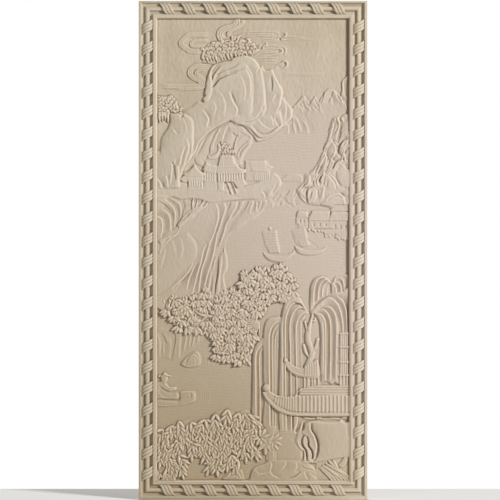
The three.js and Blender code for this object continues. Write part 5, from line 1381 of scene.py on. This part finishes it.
def border_blend(relief):
    """Raises the edge of the field to the fillet, keeping what is carved over it."""
    x, z = np.meshgrid(relief.x, relief.z - MIDDLE)
    out = np.maximum(np.abs(x) - FIELD_X, np.abs(z) - FIELD_Z)
    frame_height = FRAME_RISE * smoothstep(out / SLOPE)
    carved = relief.h * smoothstep((SLOPE + 4.5 - out) / 4)
    relief.h = np.where(out > 0, np.maximum(frame_height, carved), relief.h)
    relief.h = np.where(out > SLOPE + 4.4, FRAME_RISE, relief.h)


def find_shading(relief, cell):
    """The painted light and shade: how deep in a hollow each place lies, for painted shade in the
    cuts. Drilled leaves count more, and high smooth stone and the upper half count less, so they
    get a painted highlight. The painted shadow of the right fillet lies on the side next to it."""
    fine = blur(relief.h, 1) - relief.h
    wide = blur(relief.h, 4 / cell) - relief.h
    cuts = (fine / 4.5 + wide / 28) * (0.75 + 0.75 * relief.drilled)
    upper = 0.2 + 0.8 * smoothstep((relief.z[:, None] - 60) / 240)
    # Raised smooth stone and the upper half are painted lighter
    raised_highlight = 0.2 * smoothstep(relief.h / 9) * np.clip(1 - relief.drilled, 0, 1) * upper
    # The right fillet's shadow, painted on the field beside it
    shade = 0.3 * np.exp(-(relief.x.max() - SLOPE - relief.x) / 14)
    return np.clip(OPEN + cuts - raised_highlight + shade, 0, 1)


def build_relief(cell, tooling):
    """Draws every form in turn, from the far ones to the near ones."""
    reach = SLOPE + FILLET - SEAM
    relief = Relief(FIELD_X + reach, MIDDLE - FIELD_Z - reach, MIDDLE + FIELD_Z + reach, cell)
    for draw in (draw_sky, draw_far_peaks, draw_strata, draw_hollow, draw_cliff, draw_left_boulder,
                 draw_right_mountains, draw_plateau, draw_crowns, draw_shore,
                 draw_lake, draw_middle_trees, draw_willows, draw_house, draw_foreground,
                 draw_fisherman, draw_low_trees):
        draw(relief)
    relief.h = np.clip(relief.h, DEEPEST, BAND_RISE)
    tool_marks(relief, tooling)
    relief.h = soften(relief.h)
    border_blend(relief)
    relief.h = np.clip(relief.h, DEEPEST_MARK, BAND_RISE)
    relief.hollow_shade = find_shading(relief, cell)
    return relief


def deselect_all():
    """Leaves edit mode and clears the selection, which an operator would act on."""
    if bpy.context.object and bpy.context.object.mode != "OBJECT":
        bpy.ops.object.mode_set(mode="OBJECT")
    bpy.ops.object.select_all(action="DESELECT")


def take_active(obj):
    """Makes one object the only one selected."""
    deselect_all()
    obj.select_set(True)
    bpy.context.view_layer.objects.active = obj


def settle(obj, name):
    """Names a finished piece, puts its place in its mesh and lets it ride on the panel."""
    obj.name = name
    obj.data.name = name
    take_active(obj)
    bpy.ops.object.transform_apply(location=True, rotation=True, scale=True)
    obj.data.materials.clear()
    obj.data.materials.append(stone_material())
    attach(obj, "root")


def write_shading(obj, values):
    """Stores the painted light and shade of each point: how deep in a hollow it counts as."""
    layer = obj.data.attributes.new("hollow_shade", "FLOAT", "POINT")
    layer.data.foreach_set("value", np.asarray(values, dtype=np.float32))


def node_group(name, inputs, outputs):
    """An empty shader group with its sockets, and its input and output nodes."""
    group = bpy.data.node_groups.new(name, "ShaderNodeTree")
    for label, kind, value in inputs:
        socket = group.interface.new_socket(label, in_out="INPUT", socket_type=kind)
        socket.default_value = value
    for label, kind in outputs:
        group.interface.new_socket(label, in_out="OUTPUT", socket_type=kind)
    return group, group.nodes.new("NodeGroupInput"), group.nodes.new("NodeGroupOutput")


def add(nodes, kind, **values):
    """Adds a node and sets its properties."""
    node = nodes.new(kind)
    for key, value in values.items():
        setattr(node, key, value)
    return node


def grain_group():
    """Grain, pits and soft mottling of sandstone, from object coordinates."""
    group, into, out = node_group("Sandstone grain", [
        ("Grain scale", "NodeSocketFloat", 420.0), ("Mottle scale", "NodeSocketFloat", 5.0)],
        [("Mottle", "NodeSocketFloat"), ("Grain", "NodeSocketFloat")])
    nodes, links = group.nodes, group.links
    place = add(nodes, "ShaderNodeTexCoord")
    mottle = add(nodes, "ShaderNodeTexNoise")
    mottle.inputs["Detail"].default_value = 6
    mottle.inputs["Roughness"].default_value = 0.6
    grain = add(nodes, "ShaderNodeTexNoise")
    grain.inputs["Detail"].default_value = 3
    links.new(place.outputs["Object"], mottle.inputs["Vector"])
    links.new(place.outputs["Object"], grain.inputs["Vector"])
    links.new(into.outputs["Mottle scale"], mottle.inputs["Scale"])
    links.new(into.outputs["Grain scale"], grain.inputs["Scale"])
    links.new(mottle.outputs["Fac"], out.inputs["Mottle"])
    links.new(grain.outputs["Fac"], out.inputs["Grain"])
    return group


def stone_material():
    """Pale sandstone: mottled, with painted shade, darker and warmer, in the cuts, rubbed pale
    edges with a painted highlight, and a painted fall of light: greyer over the middle right, in
    shade towards the lower left.
    """
    made = bpy.data.materials.get("carved sandstone")
    if made:
        return made
    finish = bpy.context.scene.panel_finish
    material = bpy.data.materials.new("carved sandstone")
    material.use_nodes = True
    nodes, links = material.node_tree.nodes, material.node_tree.links
    shader = nodes["Principled BSDF"]
    shader.inputs["Roughness"].default_value = 0.86
    shader.inputs["Specular IOR Level"].default_value = 0.25
    grain = add(nodes, "ShaderNodeGroup", node_tree=grain_group())
    body = add(nodes, "ShaderNodeMix", data_type="RGBA")
    body.inputs["A"].default_value = (*finish.light, 1)
    body.inputs["B"].default_value = (*finish.warm, 1)
    spread = add(nodes, "ShaderNodeMapRange")
    spread.inputs["From Min"].default_value = 0.38
    spread.inputs["From Max"].default_value = 0.68
    links.new(grain.outputs["Mottle"], spread.inputs["Value"])
    links.new(spread.outputs["Result"], body.inputs["Factor"])
    # Painted shade, dark and warm, laid into the cuts by the hollow value
    hollow_shade = add(nodes, "ShaderNodeAttribute", attribute_name="hollow_shade")
    deep = add(nodes, "ShaderNodeMapRange")
    deep.inputs["From Min"].default_value = 0.6
    deep.inputs["From Max"].default_value = 1.0
    deep.inputs["To Max"].default_value = 0.8
    links.new(hollow_shade.outputs["Fac"], deep.inputs["Value"])
    dark = add(nodes, "ShaderNodeMix", data_type="RGBA")
    dark.inputs["B"].default_value = (*finish.hollow_shade, 1)
    links.new(deep.outputs["Result"], dark.inputs["Factor"])
    # A painted fall of light: greyer light over the middle right, painted shade towards the lower
    # left
    light_falloff = add(nodes, "ShaderNodeGroup", node_tree=light_falloff_group())
    stone = body
    for label, colour in (("Painted light pool", finish.painted_grey_light), ("Painted shade pool", finish.painted_low_shade)):
        layer = add(nodes, "ShaderNodeMix", data_type="RGBA")
        layer.inputs["B"].default_value = (*colour, 1)
        links.new(light_falloff.outputs[label], layer.inputs["Factor"])
        links.new(stone.outputs["Result"], layer.inputs["A"])
        stone = layer
    links.new(stone.outputs["Result"], dark.inputs["A"])
    # Proud places take the edge colour: rubbed pale edges with a painted highlight
    proud = add(nodes, "ShaderNodeMapRange")
    proud.inputs["From Min"].default_value = 0.46
    proud.inputs["From Max"].default_value = 0.1
    proud.inputs["To Max"].default_value = 0.65
    links.new(hollow_shade.outputs["Fac"], proud.inputs["Value"])
    rubbed_and_highlit = add(nodes, "ShaderNodeMix", data_type="RGBA")
    rubbed_and_highlit.inputs["B"].default_value = (*finish.edge, 1)
    links.new(proud.outputs["Result"], rubbed_and_highlit.inputs["Factor"])
    links.new(dark.outputs["Result"], rubbed_and_highlit.inputs["A"])
    links.new(rubbed_and_highlit.outputs["Result"], shader.inputs["Base Color"])
    bump = add(nodes, "ShaderNodeBump")
    bump.inputs["Strength"].default_value = 0.9
    bump.inputs["Distance"].default_value = 0.0006
    links.new(grain.outputs["Grain"], bump.inputs["Height"])
    links.new(bump.outputs["Normal"], shader.inputs["Normal"])
    return material


def moulding(inward):
    """Height of the border above the ground, at a distance in from the channel's outer edge."""
    middle = CHANNEL / 2
    if abs(inward - middle) < ROD / 2:
        return ROD_RISE - ROD / 2 + math.sqrt((ROD / 2) ** 2 - (inward - middle) ** 2)
    edge = min(inward, CHANNEL - inward)
    if edge < 0:
        return FRAME_RISE
    if edge >= COVE:
        return FLOOR
    return FLOOR + (FRAME_RISE - FLOOR) * (1 - math.sqrt(1 - (1 - edge / COVE) ** 2))


class STONEPANEL_OT_slab(bpy.types.Operator):
    """Cuts the slab and its border: a block whose front is inset step by step along the section"""

    bl_idname = "stonepanel.slab"
    bl_label = "Slab and border"

    def execute(self, context):
        deselect_all()
        face = SLAB + FRAME_RISE
        bpy.ops.mesh.primitive_cube_add(size=1, location=(0, -face / 2 * MM, 0))
        slab = context.object
        slab.scale = (WIDTH * MM, face * MM, HEIGHT * MM)
        bpy.ops.object.transform_apply(location=True, rotation=True, scale=True)
        bpy.ops.object.mode_set(mode="EDIT")
        bpy.ops.mesh.select_all(action="SELECT")
        bpy.ops.mesh.bevel(offset=ARRIS * MM, segments=2, affect="EDGES")
        bpy.ops.mesh.select_mode(type="FACE")
        bpy.ops.mesh.select_all(action="DESELECT")
        bpy.ops.object.mode_set(mode="OBJECT")
        front = min(slab.data.polygons, key=lambda p: p.center.y - p.area)
        front.select = True
        bpy.ops.object.mode_set(mode="EDIT")
        bpy.ops.mesh.inset(thickness=(RIM_SIDE - ARRIS) * MM, depth=0)
        bpy.ops.transform.translate(value=(0, 0, MIDDLE * MM))
        middle = CHANNEL / 2
        cove = [COVE * (1 - math.cos(math.pi / 2 * k / COVE_STEPS))
                for k in range(COVE_STEPS + 1)]
        rod = [middle - ROD / 2 * math.cos(math.pi * k / ROD_STEPS)
               for k in range(ROD_STEPS + 1)]
        rod[0] += NARROW
        rod[-1] -= NARROW
        stations = cove + [middle - ROD / 2 - NARROW] + rod + [middle + ROD / 2 + NARROW]
        stations += [CHANNEL - c for c in reversed(cove)] + [CHANNEL + SEAM]
        last = (0.0, FRAME_RISE)
        for inward in stations[1:]:
            height = moulding(inward) if inward < CHANNEL else FRAME_RISE
            bpy.ops.mesh.inset(thickness=(inward - last[0]) * MM, depth=(height - last[1]) * MM)
            last = (inward, height)
        bpy.ops.mesh.inset(thickness=NARROW * MM, depth=(RECESS - FRAME_RISE) * MM)
        bpy.ops.object.mode_set(mode="OBJECT")
        bpy.ops.object.shade_smooth_by_angle(angle=math.radians(40))
        # The border's painted light and shade: painted shade on the channel floors, a painted
        # highlight on the rods, coves, fillet and the rest, the outer rim left plain
        border_shading = []
        for vertex in slab.data.vertices:
            inward = min(WIDTH / 2 - RIM_SIDE - abs(vertex.co.x / MM),
                         HEIGHT / 2 - (RIM_TOP + RIM_BOTTOM) / 2 - abs(vertex.co.z / MM - MIDDLE))
            rise = -vertex.co.y / MM - SLAB
            floor = 0 < inward < CHANNEL and rise < 8
            border_shading.append(FLOOR_SHADE if floor else RIM_TINT if inward < 0 else PROUD_HIGHLIGHT)
        write_shading(slab, border_shading)
        settle(slab, "panel_slab")
        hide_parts(NODE)
        return {"FINISHED"}


def band_surface(s, b, groove, width):
    """Along, across and height of a ribbon's surface. s and b run from -1 to 1."""
    lean = 11 * b + 8.5 * b ** 3
    arch = BAND_END + (BAND_RISE - BAND_END) * np.cos(b * math.pi / 2) ** 0.55
    strand = ((s + 1) / 2 * STRANDS) % 1.0
    strand = np.where(np.abs(s) >= 0.999, 0.0, strand)
    hollow_shade = 1 - np.sqrt(np.clip(1 - (2 * strand - 1) ** 2, 0, 1))
    drop = groove * hollow_shade ** 1.5
    edge = np.clip((np.abs(s) - 0.86) / 0.14, 0, 1)
    height = arch - drop - 5 * edge ** 2
    return s * width / 2 + lean, b * CHANNEL / 2, height, hollow_shade


class STONEPANEL_OT_ribbons(bpy.types.Operator):
    """Winds the three-strand ribbons round the rod of all four rails"""

    bl_idname = "stonepanel.ribbons"
    bl_label = "Ribbons"

    def one_ribbon(self, context, groove):
        sizes = context.scene.panel_sizes
        deselect_all()
        bpy.ops.mesh.primitive_grid_add(x_subdivisions=30, y_subdivisions=16, size=2)
        ribbon = context.object
        bpy.ops.object.mode_set(mode="EDIT")
        bpy.ops.mesh.select_all(action="SELECT")
        bpy.ops.mesh.flip_normals()
        bpy.ops.object.mode_set(mode="OBJECT")
        count = len(ribbon.data.vertices)
        co = np.empty(count * 3)
        ribbon.data.vertices.foreach_get("co", co)
        co = co.reshape(-1, 3)
        along, across, height, hollow_shade = band_surface(co[:, 0], co[:, 1], groove, sizes.band / MM)
        placed = np.stack([across, -(SLAB + height), along], axis=1) * MM
        ribbon.data.vertices.foreach_set("co", placed.ravel())
        # Painted shade in the grooves between the strands, a painted highlight on their crowns
        write_shading(ribbon, 0.26 + 0.55 * hollow_shade ** 2)
        bpy.ops.object.mode_set(mode="EDIT")
        bpy.ops.mesh.select_all(action="SELECT")
        bpy.ops.mesh.region_to_loop()
        bpy.ops.mesh.extrude_region_move(TRANSFORM_OT_translate={"value": (0, BAND_SKIRT * MM, 0)})
        bpy.ops.mesh.edge_face_add()
        bpy.ops.mesh.select_all(action="SELECT")
        bpy.ops.mesh.normals_make_consistent(inside=False)
        bpy.ops.object.mode_set(mode="OBJECT")
        bpy.ops.object.shade_smooth_by_angle(angle=math.radians(55))
        return ribbon

    def execute(self, context):
        groove = context.scene.panel_sizes.groove / MM
        full = self.one_ribbon(context, groove)
        plain = self.one_ribbon(context, groove * 0.4)
        spots = []
        side_x = WIDTH / 2 - RIM_SIDE - CHANNEL / 2
        for i in range(SIDE_GAPS + 1):
            z = SIDE_REACH - i * 2 * SIDE_REACH / SIDE_GAPS
            spots.append((-side_x, z, 0.0, full))
            # The lowest ribbon on the right has shallower grooves than the rest
            spots.append((side_x, z, 0.0, plain if i == SIDE_GAPS else full))
        top_z = HEIGHT / 2 - RIM_TOP - CHANNEL / 2
        low_z = -HEIGHT / 2 + RIM_BOTTOM + CHANNEL / 2
        for i in range(END_GAPS + 1):
            x = -END_REACH + i * 2 * END_REACH / END_GAPS
            spots.append((x, top_z, math.pi / 2, full))
            spots.append((x, low_z, math.pi / 2, full))
        copies = []
        for x, z, turn, model in spots:
            copy = model.copy()
            copy.data = model.data.copy()
            context.collection.objects.link(copy)
            copy.location = (x * MM, 0, z * MM)
            copy.rotation_euler = (0, -turn, 0)
            copies.append(copy)
        bpy.data.objects.remove(full)
        bpy.data.objects.remove(plain)
        deselect_all()
        for copy in copies:
            copy.select_set(True)
        context.view_layer.objects.active = copies[0]
        bpy.ops.object.join()
        settle(context.object, "rope_ribbons")
        return {"FINISHED"}


STRIPS = ("carved_peaks", "carved_cliffs", "carved_shores", "carved_trees", "carved_house")


class STONEPANEL_OT_carving(bpy.types.Operator):
    """Carves the landscape: five grids, one below the other, raised to the relief's height"""

    bl_idname = "stonepanel.carving"
    bl_label = "Landscape carving"

    def strip(self, context, relief, rows, name):
        z = relief.z[rows]
        deselect_all()
        bpy.ops.mesh.primitive_grid_add(
            x_subdivisions=relief.nx - 1, y_subdivisions=len(z) - 1, size=1)
        piece = context.object
        x, zz = np.meshgrid(relief.x, z)
        y = -(SLAB + relief.h[rows])
        co = np.stack([x, y, zz], axis=2).reshape(-1, 3) * MM
        piece.data.vertices.foreach_set("co", co.ravel())
        write_shading(piece, relief.hollow_shade[rows].ravel())
        bpy.ops.object.mode_set(mode="EDIT")
        bpy.ops.mesh.select_all(action="SELECT")
        bpy.ops.mesh.region_to_loop()
        bpy.ops.mesh.extrude_region_move()
        bpy.ops.object.mode_set(mode="OBJECT")
        rim = [v for v in piece.data.vertices if v.select]
        for vertex in rim:
            vertex.co.y = -(SLAB + RECESS) * MM
        bpy.ops.object.mode_set(mode="EDIT")
        bpy.ops.mesh.edge_face_add()
        bpy.ops.object.mode_set(mode="OBJECT")
        bpy.ops.object.shade_smooth_by_angle(angle=math.radians(75))
        settle(piece, name)

    def execute(self, context):
        sizes = context.scene.panel_sizes
        cell = sizes.cell / MM * 1
        relief = build_relief(cell, sizes.tooling / MM)
        cuts = np.linspace(0, relief.nz - 1, len(STRIPS) + 1).astype(int)
        for name, low, high in zip(reversed(STRIPS), cuts[:-1], cuts[1:]):
            self.strip(context, relief, slice(low, high + 1), name)
        return {"FINISHED"}


class STONEPANEL_OT_stage(bpy.types.Operator):
    """Lays a pale floor, sets the lamps and places the camera square to the panel"""

    bl_idname = "stonepanel.stage"
    bl_label = "Stage"

    def lamp(self, context, name, place, aim, size, power, colour):
        bpy.ops.object.light_add(type="AREA", location=place)
        lamp = context.object
        lamp.name = name
        lamp.data.size = size
        lamp.data.energy = power
        lamp.data.color = colour
        direction = np.array(aim) - np.array(place)
        lamp.rotation_euler = (
            math.acos(-direction[2] / np.linalg.norm(direction)), 0,
            math.atan2(direction[1], direction[0]) - math.pi / 2)

    def execute(self, context):
        deselect_all()
        bpy.ops.mesh.primitive_plane_add(size=1, location=(0, -1.0, CAD_BOX[0][2] - 0.001))
        floor = context.object
        floor.name = "floor"
        floor.scale = (7, 3.0, 1)
        paint = bpy.data.materials.new("pale floor")
        paint.use_nodes = True
        shader = paint.node_tree.nodes["Principled BSDF"]
        shader.inputs["Base Color"].default_value = (0.93, 0.93, 0.93, 1)
        shader.inputs["Roughness"].default_value = 0.9
        floor.data.materials.append(paint)
        for lamp in LAMPS:
            self.lamp(context, *lamp)
        world = bpy.data.worlds.new("white studio")
        world.use_nodes = True
        context.scene.world = world
        nodes, links = world.node_tree.nodes, world.node_tree.links
        light = nodes["Background"]
        light.inputs["Color"].default_value = (1, 0.95, 0.86, 1)
        light.inputs["Strength"].default_value = 0.16
        seen = add(nodes, "ShaderNodeBackground")
        seen.inputs["Color"].default_value = (1, 1, 1, 1)
        seen.inputs["Strength"].default_value = 1.0
        path = add(nodes, "ShaderNodeLightPath")
        mix = add(nodes, "ShaderNodeMixShader")
        links.new(path.outputs["Is Camera Ray"], mix.inputs[0])
        links.new(light.outputs["Background"], mix.inputs[1])
        links.new(seen.outputs["Background"], mix.inputs[2])
        links.new(mix.outputs["Shader"], nodes["World Output"].inputs["Surface"])
        bpy.ops.object.camera_add(location=(VIEW_X, -CAMERA_DISTANCE, VIEW_Z),
                                  rotation=(math.pi / 2, 0, 0))
        camera = context.object
        camera.data.sensor_width = SENSOR
        camera.data.lens = SENSOR * (CAMERA_DISTANCE - DEPTH * MM) / VIEW_SPAN
        camera.data.clip_end = 100
        context.scene.camera = camera
        context.scene.view_settings.view_transform = "Standard"
        return {"FINISHED"}


class STONEPANEL_PT_sidebar(bpy.types.Panel):
    """Lists the steps and the sizes"""

    bl_idname = "STONEPANEL_PT_sidebar"
    bl_label = "Stone Panel"
    bl_space_type = "VIEW_3D"
    bl_region_type = "UI"
    bl_category = "Stone Panel"

    def draw(self, context):
        for operator in OPERATORS:
            self.layout.operator(operator.bl_idname)
        for name in ("cell", "band", "groove", "tooling"):
            self.layout.prop(context.scene.panel_sizes, name)
        for name in ("light", "warm", "painted_grey_light", "painted_low_shade", "hollow_shade", "edge"):
            self.layout.prop(context.scene.panel_finish, name)


OPERATORS = (STONEPANEL_OT_slab, STONEPANEL_OT_ribbons, STONEPANEL_OT_carving, STONEPANEL_OT_stage)
CLASSES = (PanelSizes, PanelFinish, *OPERATORS, STONEPANEL_PT_sidebar)


def register():
    for cls in CLASSES:
        bpy.utils.register_class(cls)
    bpy.types.Scene.panel_sizes = bpy.props.PointerProperty(type=PanelSizes)
    bpy.types.Scene.panel_finish = bpy.props.PointerProperty(type=PanelFinish)


def unregister():
    del bpy.types.Scene.panel_finish
    del bpy.types.Scene.panel_sizes
    for cls in reversed(CLASSES):
        bpy.utils.unregister_class(cls)


def main():
    register()
    bpy.ops.stonepanel.slab()
    bpy.ops.stonepanel.ribbons()
    bpy.ops.stonepanel.carving()
    bpy.ops.stonepanel.stage()


if __name__ == "__main__":
    main()
